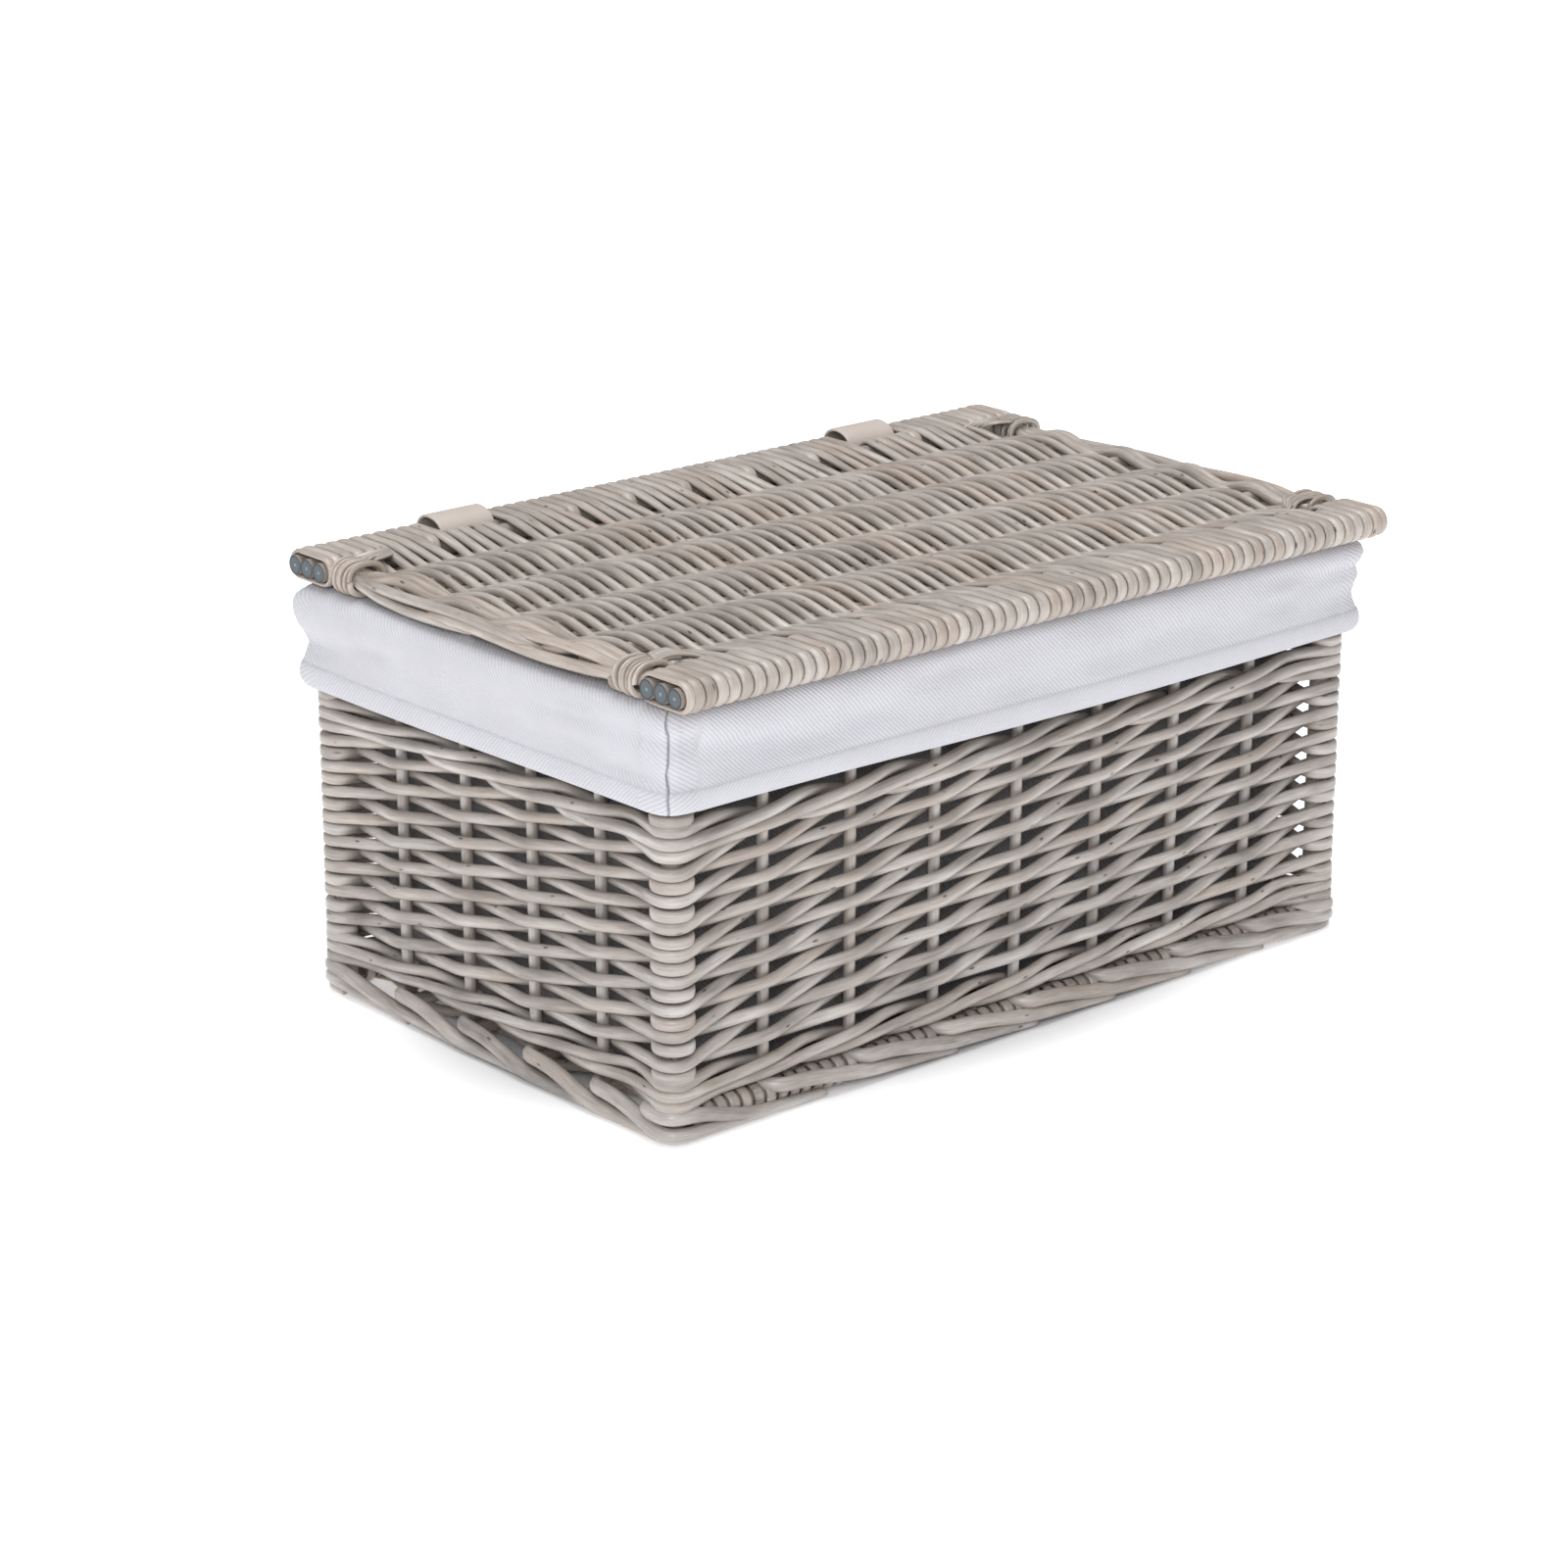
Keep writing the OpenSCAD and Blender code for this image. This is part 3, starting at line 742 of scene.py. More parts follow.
@dataclass(frozen=True)
class Outline:
    """Plan of the basket: the line of its stakes, with a post at each corner."""

    half_x: float = 143.0
    half_y: float = 85.0
    centre: tuple[float, float] = (-1.0, 2.5)
    long_stakes: int = 7
    end_stakes: int = 4
    post_r: float = 3.5

    def half(self, side: Side) -> float:
        """Half the length of a wall."""
        return self.half_x if side.is_long else self.half_y

    def reach(self, side: Side) -> float:
        """Distance of a wall from the middle."""
        return self.half_y if side.is_long else self.half_x

    def stakes(self, side: Side) -> int:
        """Number of stakes in a wall."""
        return self.long_stakes if side.is_long else self.end_stakes

    def axes(self, side: Side) -> tuple[np.ndarray, np.ndarray]:
        """Direction along a wall, as seen from outside to the right, and its outward direction."""
        along = [(1, 0), (0, 1), (-1, 0), (0, -1)][side.value]
        return np.array(along, float), np.array((along[1], -along[0]), float)

    def point(self, side: Side, t: np.ndarray, out: np.ndarray, z: np.ndarray) -> np.ndarray:
        """Place points on a wall.

        Args:
            side: The wall.
            t: Place along it, 0 in the middle.
            out: Distance outside the line of the stakes.
            z: Height.

        Returns:
            The points.
        """
        along, outward = self.axes(side)
        t, out, z = np.broadcast_arrays(np.asarray(t, float), out, z)
        flat = np.array(self.centre) + t[:, None] * along
        flat = flat + (self.reach(side) + out)[:, None] * outward
        return np.column_stack([flat, z])

    def post(self, side: Side) -> np.ndarray:
        """Place of the post at the end of a wall."""
        along, outward = self.axes(side)
        return np.array(self.centre) + self.half(side) * along + self.reach(side) * outward

    def turn(
        self, side: Side, radius: float, first: float, last: float, z: float, steps: int
    ) -> np.ndarray:
        """Points of an arc round the post at the end of a wall.

        Args:
            side: The wall that ends at the post.
            radius: Radius of the arc.
            first: Angle where it starts, 0 on the wall's outside, towards the next wall.
            last: Angle where it ends.
            z: Height.
            steps: Number of points.

        Returns:
            The points.
        """
        along, outward = self.axes(side)
        angle = np.radians(np.linspace(first, last, steps))[:, None]
        flat = self.post(side) + radius * (np.cos(angle) * outward + np.sin(angle) * along)
        return np.column_stack([flat, np.full(steps, z)])


@dataclass
class WovenBody:
    """Posts, stakes and weavers of the basket's four walls.

    The courses are the heights of the rand's rods, and each wale is its middle height and the rise
    from one strand to the next. A weaver's band is its half section where it is pulled round a
    post.
    """

    plan: Outline = field(default_factory=Outline)
    stake_r: float = 1.95
    stake_z: tuple[float, float] = (11.9, 124.8)
    courses: tuple[float, ...] = (26.6, 35.4, 44.1, 52.9, 61.6, 70.4, 79.1, 87.9)
    top_courses: tuple[float, ...] = (108.5, 117.2)
    bay_steps: int = 10
    weaver_r: float = 2.0
    weaver_taper: tuple[float, float] = (1.06, 0.92)
    band_half: float = 1.75
    band_tall: float = 1.98
    band_boxy: float = 0.4
    foot_wale: tuple[float, float] = (16.3, 3.6)
    rim_wale: tuple[float, float] = (97.2, 3.95)
    wale_strands: int = 3
    wale_steps: int = 9
    wale_taper: tuple[float, float] = (1.06, 0.98)
    border_r: float = 2.45
    border_from_post: float = 9.5

    @property
    def hug(self) -> float:
        """Distance from a post's middle to that of a weaver pulled round it."""
        return self.plan.post_r + self.band_half

    def squash(self, path: np.ndarray, r: float | np.ndarray) -> dict[str, np.ndarray]:
        """Work out a rod's section, flattened where it is pulled round a post.

        Args:
            path: Points of the rod.
            r: Radius of the rod on a wall.

        Returns:
            Half width, half height and squareness at each point, as RodWork.lay takes them.
        """
        away = np.abs(path[:, :2] - np.array(self.plan.centre))
        gap = np.hypot(away[:, 0] - self.plan.half_x, away[:, 1] - self.plan.half_y)
        # fully flat up to 1 mm past the turn, and round again 3.5 mm further on
        flat = np.clip((self.hug + 4.5 - gap) / 3.5, 0, 1)
        return {
            "wide": r + (self.band_half - r) * flat, "tall": r + (self.band_tall - r) * flat,
            "boxy": self.band_boxy * flat,
        }

    def cut(
        self, path: np.ndarray, inside: list[int], count: int, rng: np.random.Generator
    ) -> list[np.ndarray]:
        """Cut a closed run of weaving into rods whose ends hide behind stakes.

        Args:
            path: Points of the closed run.
            inside: Places in it that are behind a stake.
            count: Number of rods.
            rng: Source of chance.

        Returns:
            The rods.
        """
        share = len(inside) / count
        marks = sorted({inside[int((i + rng.uniform(0.1, 0.9)) * share)] for i in range(count)})
        loop = np.vstack([path, path[: marks[0] + 1]])
        ends = [*marks, len(loop) - 1]
        return [loop[a : b + 1] for a, b in zip(ends[:-1], ends[1:])]

    def rand(self, levels: tuple[float, ...], seed: int) -> list[np.ndarray]:
        """Work out a French rand: one rod from each stake, all of them climbing together.

        Each rod passes outside one stake and inside the next, and rises by half a course in each
        bay, so that all of them lie half a course apart. A rod that would pass inside a post
        takes a whole turn round it instead.

        Args:
            levels: Heights of the courses.
            seed: Seed for its unevenness.

        Returns:
            A path for each rod.
        """
        rng = np.random.default_rng(seed)
        plan, grip = self.plan, self.stake_r + self.weaver_r
        stations = [(side, k) for side in Side for k in range(plan.stakes(side) + 1)]
        total, count = len(stations), len(levels)
        course = levels[1] - levels[0]
        climb = np.interp(
            np.arange(-1, 2 * count) / 2, range(-1, count + 1),
            [levels[0] - course, *levels, levels[-1] + course],
        )
        heights = climb + rng.normal(0, 0.25, (total, 2 * count + 1))
        t = np.linspace(0, 1, self.bay_steps, endpoint=False)
        rods = []
        for start in range(total):
            rows = []
            for n in range(-1, 2 * count - 1):
                ends = []
                for m in (n, n + 1):
                    side, k = stations[(start + m) % total]
                    outside, corner = m % 2 == 0, k == 0
                    reach = (1 if outside else -1) * (self.hug if corner else grip)
                    ends.append((reach, heights[(start + m) % total, m + 1], outside, corner))
                side, k = stations[(start + n) % total]
                bays, half = plan.stakes(side) + 1, plan.half(side)
                (out_a, z_a, _, turned), (out_b, z_b, arrives, turns) = ends
                if n == -1 and turned:
                    before = stations[(start + n - 1) % total][0]
                    rows.append(plan.turn(before, self.hug, 180, -90, z_a, 17)[:-1])
                out, z = out_a + (out_b - out_a) * t, z_a + (z_b - z_a) * t
                rows.append(plan.point(side, ((k + t) / bays * 2 - 1) * half, out, z))
                if turns and n < 2 * count - 2:
                    first, last, steps = (0, 90, 7) if arrives else (180, -90, 17)
                    rows.append(plan.turn(side, self.hug, first, last, z_b, steps)[:-1])
            rods.append(rounded(np.vstack(rows), 1))
        return rods

    def wale(self, z: float, rise: float, seed: int) -> list[np.ndarray]:
        """Work out a wale, whose strands each pass outside two stakes and inside the third.

        The strands follow on from one another round the basket, so they make one closed run.

        Args:
            z: Middle height of the wale.
            rise: Height between neighbouring strands, which is a rod's thickness.
            seed: Seed for its unevenness.

        Returns:
            A path for each rod.
        """
        rng = np.random.default_rng(seed)
        plan, radius, steps = self.plan, rise / 2, self.wale_steps
        strands = self.wale_strands
        last = strands - 1
        rows, inside, size = [], [], 0
        for strand in range(strands):
            spot = strand
            for side in Side:
                bays, half = plan.stakes(side) + 1, plan.half(side)
                outs, ups = [], []
                # even marks lie at the posts and stakes, odd ones midway between two of them
                for k in range(2 * bays + 1):
                    post = k in (0, 2 * bays)
                    turned = (-1 if k == 0 else bays - 2) if post else k // 2 - 1
                    now = (spot + turned) % strands
                    hidden = now == last
                    level = 0 if hidden else now + 1
                    if post or k % 2:
                        ups.append(rise * (level - last / 2))
                    else:
                        ups.append(0.0 if hidden else rise * (now - (strands - 2) / 2))
                    if post:
                        outs.append(self.hug)
                    elif k % 2:
                        outs.append(0.4 if level in (0, last) else self.stake_r + radius * 0.9)
                    else:
                        outs.append((self.stake_r + radius) * (-1 if hidden else 1))
                        if hidden:
                            inside.append(size + steps * k // 2)
                t = np.linspace(-half, half, bays * steps + 1)
                marks = np.linspace(-half, half, 2 * bays + 1)
                out = eased(t, marks, np.array(outs), 0.6)
                up = eased(t, marks, np.array(ups), 0.8)
                rows.append(rounded(plan.point(side, t, out, z + up), 2))
                spot += bays - 1
                rows.append(plan.turn(side, self.hug, 0, 90, z + ups[-1], 7)[1:-1])
                size += len(rows[-2]) + len(rows[-1])
        return self.cut(np.vstack(rows), inside, 2 * strands, rng)

    def find(self, s: float) -> tuple[Side, float]:
        """Find the wall and place at a distance round the loop from the front-left post.

        Args:
            s: The distance.

        Returns:
            The wall, and the place along it from its middle.
        """
        s %= 4 * (self.plan.half_x + self.plan.half_y)
        for side in Side:
            full = 2 * self.plan.half(side)
            if s <= full:
                return side, s - self.plan.half(side)
            s -= full
        return Side.FRONT, -self.plan.half(Side.FRONT)

    def along_loop(self, s: np.ndarray, out: np.ndarray, z: np.ndarray) -> np.ndarray:
        """Place points by distance round the loop, with the corners rounded about the posts.

        Args:
            s: Distances from the front-left post.
            out: Distance outside the line of the stakes at each.
            z: Height at each.

        Returns:
            The points.
        """
        rows, last = [], None
        for place, o, h in zip(s, out, z):
            side, t = self.find(place)
            if last is not None and side is not last:
                rows.append(self.plan.turn(last, o, 0, 90, h, 7)[1:-1])
            rows.append(self.plan.point(side, np.array([t]), np.array([o]), np.array([h])))
            last = side
        return np.vstack(rows)

    def border(self, work: RodWork) -> None:
        """Lay the foot border: each stake's end turns out and runs down under the next ones.

        Args:
            work: Mesh that gets the rods.
        """
        rng = np.random.default_rng(41)
        start = 0.0
        for side in Side:
            bays, full = self.plan.stakes(side) + 1, 2 * self.plan.half(side)
            bay = full / bays
            # a short wall's rods reach less far, and dip sooner
            bays_over, top, low = (2.15, 9.3, 5.0) if side.is_long else (1.95, 9.4, 3.4)
            reach = bay * bays_over
            s = np.concatenate([np.linspace(-2.5, 9, 9), np.linspace(12, reach, 22)])
            out = np.interp(s, [-2.5, -0.5, 1.5, 4, 30, reach], [-4.0, 1.5, 5.0, 5.5, 5.7, 5.4])
            starts = [start + bay * k for k in range(1, bays)]
            for s0 in [*starts, start + full - self.border_from_post]:
                high = top + rng.normal(0, 0.2)
                z = np.interp(
                    s, [-2.5, 1, 5, 14, bay, 2 * bay, reach],
                    [9.6, 9.2, high, high - 0.5, low, 2.0, 1.5],
                )
                path = rounded(self.along_loop(s0 + s, out, z), 3)
                far = np.linspace(0, 1, len(path))
                r = self.border_r * (1.06 - 0.12 * far - 0.42 * np.clip((far - 0.62) / 0.38, 0, 1))
                # none of them reaches the table, which the posts stand on
                path[:, 2] = np.maximum(path[:, 2], r + 0.25)
                work.lay(path, r)
            start += full

    def build(self, rod: bpy.types.Material, pole: bpy.types.Material) -> None:
        """Make and dress all the pieces of the walls.

        Args:
            rod: Finish of the weavers.
            pole: Finish of the straight posts and stakes.
        """
        walls = RodWork("wall_rods", 12, 3)
        for levels, seed in ((self.courses, 101), (self.top_courses, 102)):
            for path in self.rand(levels, seed):
                r = self.weaver_r * np.linspace(*self.weaver_taper, len(path))
                walls.lay(path, **self.squash(path, r))
        walls.make(
            rod, Body.BASKET,
            ("weave_front", "weave_back", "weave_left", "weave_right",
             "corner_bands_front_left", "corner_bands_front_right",
             "corner_bands_back_left", "corner_bands_back_right"),
        )
        for name, (z, rise), node, seed in (
            ("foot_wale_rods", self.foot_wale, "foot_wale", 7),
            ("rim_wale_rods", self.rim_wale, "rim_wale", 8),
        ):
            work = RodWork(name, 10, seed)
            for path in self.wale(z, rise, seed):
                r = rise / 2 * np.linspace(*self.wale_taper, len(path))
                work.lay(path, **self.squash(path, r))
            work.make(rod, Body.BASKET, (node,))
        foot = RodWork("foot_border_rods", 10, 9)
        self.border(foot)
        foot.make(rod, Body.BASKET, ("foot_border",))
        for side in Side:
            name = side.name.lower()
            stand = RodWork(f"wall_stakes_{name}", 12, 50 + side.value)
            bays, half = self.plan.stakes(side) + 1, self.plan.half(side)
            z = np.linspace(*self.stake_z, 24)
            for t in np.linspace(-half, half, bays + 1)[1:-1]:
                path = self.plan.point(side, np.full(24, t), np.zeros(24), z)
                stand.lay(path, self.stake_r, up=(1.0, 0.3, 0.0))
            stand.make(rod, Body.BASKET, (f"stakes_{name}",))
        for name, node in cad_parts.items():
            if name.startswith(("corner_post_", "rim_border", "base_outer", "base_sticks")):
                dress(node, pole)


# ---------------------------------------------------------------- lid and base weave


@dataclass
class WovenPanel:
    """Strands laid front to back over and under sticks, turned round the edge rods.

    A strand swings over and under the sticks, and keeps swing_edge from the middle of an edge
    rod. edge_y is the middle of the edge's rods and edge_inner that of the innermost one.
    """

    z: float
    sticks: tuple[float, ...]
    swing: float
    edge_y: float
    edge_inner: float
    centre: tuple[float, float] = (0.0, 0.0)
    swing_edge: float = 4.3

    def strand(
        self, x0: float, x1: float, x2: float, over: int, back_turn: float | None = None
    ) -> np.ndarray:
        """Path of one pass, from the middle of the front edge to the middle of the back edge.

        Args:
            x0: Place of its turn round the front edge.
            x1: Place across the panel.
            x2: Place of its turn round the back edge.
            over: 1 if it leaves over the front edge, -1 if under it.
            back_turn: Middle of the rod where it turns at the back, if not the outermost.

        Returns:
            Points of the path, and the share by which it is flattened, as a fourth column.
        """
        r = self.swing_edge
        y_in = self.edge_inner
        y_out = 2 * self.edge_y - y_in
        y_back = back_turn or y_out
        ang = np.radians(np.linspace(0, 90, 6))
        n = len(self.sticks)
        back_over = over * (1 if n % 2 else -1)
        front = np.column_stack([-y_out - r * np.cos(ang), over * r * np.sin(ang)])
        run = np.column_stack([np.linspace(-y_out, -y_in, 5)[1:], np.full(4, over * r)])
        knots = np.array([-y_in, *self.sticks, y_in])
        waves = [self.swing * (over if i % 2 else -over) for i in range(n)]
        heights = np.array([over * r, *waves, back_over * r])
        y = np.linspace(-y_in, y_in, 9 * (n + 1) + 1)[1:-1]
        mid = np.column_stack([y, eased(y, knots, heights, 0.7)])
        tail = np.column_stack([np.linspace(y_in, y_back, 5)[:-1], np.full(4, back_over * r)])
        tail = tail[:1] if y_back == y_in else tail
        back = np.column_stack([y_back + r * np.cos(ang[::-1]), back_over * r * np.sin(ang[::-1])])
        back = back[1:] if y_back == y_in else back
        yz = np.vstack([front, run, mid, tail, back])
        x = np.interp(yz[:, 0], [-y_in, -y_in + 22, y_in - 22, y_in], [x0, x1, x1, x2])
        flat = np.interp(np.abs(yz[:, 0]), [y_in - 20, y_in - 3], [0.0, 1.0])
        for _ in range(2):
            level = yz[1:-1, 1]
            eased_level = 0.5 * level + 0.5 * (0.5 * (yz[:-2, 1] + yz[2:, 1]))
            yz[1:-1, 1] = np.where(np.abs(yz[1:-1, 0]) < y_in - 1, eased_level, level)
        cx, cy = self.centre
        return np.column_stack([x + cx, yz[:, 0] + cy, yz[:, 1] + self.z, flat])

    def ring(self, x: float, back: bool, lean: float = 0.0) -> np.ndarray:
        """Path of one closed turn round an edge.

        Args:
            x: Its place.
            back: Whether it is round the back edge.
            lean: How far its outer side lies beyond its inner side.

        Returns:
            Points of the path.
        """
        h = self.edge_y - self.edge_inner
        r = self.swing_edge
        a = np.radians(np.linspace(-90, 90, 9))
        outer = np.column_stack([h + r * np.cos(a), r * np.sin(a)])
        inner = np.column_stack([-h - r * np.cos(a), -r * np.sin(a)])
        if h < 0.5:
            loop = np.vstack([outer, inner])
        else:
            over = np.column_stack([np.linspace(h, -h, 5)[1:-1], np.full(3, r)])
            loop = np.vstack([outer, over, inner, -over])
        sign = 1 if back else -1
        xs = x + lean * loop[:, 0] / (h + r)
        return np.column_stack(
            [xs + self.centre[0], sign * (self.edge_y + loop[:, 0]) + self.centre[1],
             loop[:, 1] + self.z]
        )


@dataclass
class WovenLid:
    """The flat lid: edge bundles, sticks, strands, end plaits and corner bindings.

    The pitch is that of the turns round an edge bundle, of which the strands take some in their
    loops and short extra pieces the rest. A strand's band is its half section in a turn.
    """

    z: float = 146.05
    sticks: tuple[float, ...] = (-47.85, -15.95, 15.95, 47.85)
    stick_r: float = 2.28
    stick_half: float = 148.6
    swing: float = 3.75
    edge_y: float = 89.5
    edge_inner: float = 83.0
    pitch: float = 4.87
    turns: int = 56
    loops: int = 45
    end_turns: int = 4
    end_pitch: float = 4.6
    strand_r: float = 1.62
    band_half: float = 2.3
    band_thick: float = 0.9
    strap_x: float = 90.0
    strap_half: float = 12.6
    plait_x: float = 146.0
    plait_end: float = 80.0
    binding_x: float = 145.9
    binding_y: float = 77.0
    binding_turns: int = 6
    binding_pitch: float = 1.85
    binding_tails: int = 4

    @property
    def first(self) -> float:
        """Place of the first turn from the left."""
        return -(self.turns - 1) / 2 * self.pitch

    def panel(self, sticks: tuple[float, ...] = (), swing: float = 0.0) -> WovenPanel:
        """Lay out the ways of the strands.

        Args:
            sticks: The sticks that they pass.
            swing: How far they swing over and under them.

        Returns:
            The panel.
        """
        return WovenPanel(self.z, sticks, swing, self.edge_y, self.edge_inner)

    def at_strap(self, x: float) -> bool:
        """Whether a strap lies over the back bundle at a place."""
        return abs(abs(x) - self.strap_x) < self.strap_half

    def passes(self) -> list[list[np.ndarray]]:
        """Work out the strands, each a run of passes that turns round the bundles between them.

        A strand that meets a strap turns round the innermost rod alone, and the strap takes the rest.

        Returns:
            The passes of each strand, in the order that it travels.
        """
        panel = self.panel(self.sticks, self.swing)
        rng = np.random.default_rng(5)
        last, first = self.turns - 1, self.first
        step = last * self.pitch / self.loops
        runs: list[list[np.ndarray]] = [[]]
        for k in range(self.loops):
            back_x = first + self.slot(k + 0.5) * self.pitch
            for way, over in ((0, 1), (1, -1)):
                front_x = first + self.slot(k + way) * self.pitch
                x = first + step * (k + 0.25 + 0.5 * way) + rng.normal(0, 0.22)
                inmost = self.edge_inner if self.at_strap(back_x) else None
                path = panel.strand(front_x, x, back_x, over, inmost)
                path[:, 2] += rng.normal(0, 0.1) * (1 - path[:, 3])
                if way:
                    path = path[::-1]
                under = int(np.argmin(np.abs(path[:, 1] - self.sticks[2])))
                if not way and k % 2:
                    runs[-1].append(path[: under + 1])
                    runs.append([path[under:]])
                else:
                    runs[-1].append(path)
        runs = [run for run in runs if run]
        for run, edge, over in ((runs[0], 0, -1), (runs[-1], last, 1)):
            half = panel.strand(first + edge * self.pitch, 0.0, 0.0, over)
            half = half[half[:, 1] < -self.edge_inner]
            half[:, 0] = first + edge * self.pitch
            if edge:
                run.append(half)
            else:
                run.insert(0, half[::-1])
        return runs

    def slot(self, k: float) -> int:
        """Give the turn of a bundle that a strand's loop takes.

        Args:
            k: Number of the loop.

        Returns:
            Number of the turn from the left.
        """
        return round(k * (self.turns - 1) / self.loops)

    def strands(self, finish: bpy.types.Material) -> None:
        """Make the strands and their turns round the two bundles.

        Args:
            finish: Finish of the strands.
        """
        rng = np.random.default_rng(6)
        work = RodWork("lid_strands", 8, 11)
        for run in self.passes():
            path = np.vstack([run[0], *[p[1:] for p in run[1:]]])
            flat = path[:, 3]
            thick = self.strand_r * rng.uniform(0.86, 1.08) * np.linspace(1.06, 0.94, len(path))
            work.lay(
                path[:, :3], thick * (1 - flat) + self.band_thick * flat,
                thick * (1 - flat) + self.band_half * flat, up=(1.0, 0.0, 0.0), wander=0.03,
            )
        full = self.panel(self.sticks, self.swing)
        # thinner ones close the gaps beside the plaits, and end under them
        for x, over in ((-136.4, -1), (-138.7, 1), (136.9, 1)):
            path = full.strand(x, x, x, over)[:, :3]
            work.lay(path[np.abs(path[:, 1]) < 80], self.strand_r * 0.85, up=(1.0, 0.0, 0.0))
        panel = self.panel()
        for back in (False, True):
            used = {self.slot(k + 0.5 * back) for k in range(self.loops + 1)}
            for turn in range(self.turns):
                x = self.first + turn * self.pitch
                if turn in used or back and self.at_strap(x):
                    continue
                work.lay(
                    panel.ring(x, back), self.band_thick, self.band_half,
                    up=(1.0, 0.0, 0.0), closed=True,
                )
        work.make(finish, Body.LID, ("lid_weave",))
        for name, back in (("lid_front_end_turns", False), ("lid_back_end_turns", True)):
            ends = RodWork(name, 10, 13 + back)
            for sign in (-1, 1):
                for k in range(self.end_turns):
                    x = sign * (-self.first + self.end_pitch * (k + 1) - 0.2)
                    last = k == self.end_turns - 1
                    thick = 0.8 if last else self.band_thick + 0.08 * k
                    ends.lay(
                        panel.ring(x - sign * 1.3 * last, back), thick,
                        self.band_half - (0.75 if last else 0.15), up=(1.0, 0.0, 0.0), closed=True,
                    )
            ends.make(
                finish, Body.LID,
                ("lid_back_wraps",) if back else ("lid_front_wraps",),
            )

    def plaits(self, finish: bpy.types.Material) -> None:
        """Close each short end with rods that pass over two sticks and under the third.

        Args:
            finish: Finish of the rods.
        """
        for name, sign in (("left", -1), ("right", 1)):
            work = RodWork(f"lid_plait_rods_{name}", 10, 17 + sign)
            rng = np.random.default_rng(70 + sign)
            # the sticks and the places midway between them, then the ends under the bindings
            gap, end = self.sticks[3] - self.sticks[2], self.plait_end
            marks = np.array([-end, 9 - end, *[k * gap / 2 for k in range(-4, 5)], end - 9, end])
            for strand in range(3):
                tucked = [0.2 + self.plait_x + 1.9 * (strand - 1), self.plait_x + 3.0 * (strand - 1)]
                ups, outs = [0.0, 0.6], [*tucked]
                for i in range(9):
                    now = (strand + i // 2 - 1 + (sign > 0)) % 3
                    level = 0 if now == 2 else now + 1
                    if i % 2 == 0:
                        ups.append(0.2 + (1 - level) * 0.5)
                        outs.append(141.2 + 3.7 * level)
                    else:
                        now = (now + 1) % 3
                        ups.append(-3.1 if now == 2 else 3.4)
                        outs.append(144.6 if now == 2 else 143.0 + 3.7 * now)
                ups += [0.6, 0.0]
                outs += tucked[::-1]
                y = np.linspace(-end, end, 90)
                x = eased(y, marks, np.array(outs) + rng.normal(0, 0.15, len(marks)), 0.6)
                z = self.z + eased(y, marks, np.array(ups), 0.45)
                work.lay(
                    rounded(np.column_stack([sign * x, y, z]), 3), np.linspace(2.15, 1.95, 90),
                    np.linspace(1.95, 1.8, 90),
                )
            # loose rods that bow along the outside, their tips thin and tucked in
            for start, stop, out, low, r in (
                (-79.0, 34.0, 151.9, -1.6, 1.9), (-30.0, 79.0, 151.2, 0.9, 1.9),
                (-79.0, -4.0, 149.8, 2.3, 1.75), (6.0, 79.0, 152.0, -2.6, 1.7),
            ):
                y = np.linspace(start, stop, 44)
                bow = np.cos(np.clip(y / (end + 2), -1, 1) * np.pi / 2) ** 0.45
                x = 146.5 + (out - 146.5) * bow
                z = self.z + low * np.clip((end - np.abs(y)) / 26, 0, 1)
                z = z + 0.5 * np.sin(y / 11 + out)
                tip = np.clip(np.minimum(y - start, stop - y) / 11, 0, 1) ** 0.7
                tuck = (1 - tip) * 1.6
                work.lay(
                    np.column_stack([sign * (x - tuck), y, z - tuck]),
                    np.linspace(r * 1.08, r * 0.88, 44) * (0.25 + 0.75 * tip),
                )
            work.make(finish, Body.LID, (f"lid_plait_{name}",))

    def bindings(self, finish: bpy.types.Material) -> None:
        """Bind each corner with turns of split willow whose tails cross the first strands.

        Args:
            finish: Finish of the split willow.
        """
        for end, sx in (("left", -1), ("right", 1)):
            for face, sy in (("front", -1), ("back", 1)):
                rng = np.random.default_rng(300 + sx + 5 * sy)
                work = RodWork(f"lid_binding_turns_{face}_{end}", 8, 23 + sx + 2 * sy)
                turns = self.binding_turns
                a = np.linspace(0, 2 * np.pi * turns, 22 * turns)
                turn = a / (2 * np.pi)
                lean = np.interp(turn, np.arange(turns + 1), rng.normal(0, 0.75, turns + 1))
                wide = 6.9 + 0.35 * np.sin(a / 3 + 1)
                y = self.binding_y - self.binding_pitch * turn + lean * np.cos(a)
                c, t = np.cos(a), np.sin(a)
                x = self.binding_x + wide * np.sign(c) * np.abs(c) ** 0.8
                z = self.z + (4.75 + 0.25 * np.sin(a / 2.3)) * np.sign(t) * np.abs(t) ** 0.8
                work.lay(
                    np.column_stack([sx * x, sy * y, z]), 1.05, 0.55, up=(0.0, 1.0, 0.0), wander=0.05
                )
                for k in range(self.binding_tails):
                    tail = through(
                        [(144.5 - k, 75.8 - 2.2 * k, self.z + 5.0),
                         (139.5 - k, 75.2 - 2.0 * k, self.z + 5.6),
                         (134.0, 76.2 - 1.9 * k, self.z + 5.4),
                         (129.5 + 0.8 * k, 78.3 - 1.7 * k, self.z + 4.4),
                         (126.5 + 1.5 * k, 80.2 - 1.5 * k, self.z + 2.2)], 1.5,
                    )
                    work.lay(tail * np.array([sx, sy, 1.0]), 1.0, 0.6, wander=0.03)
                work.make(finish, Body.LID, (f"lid_binding_{face}_{end}",))

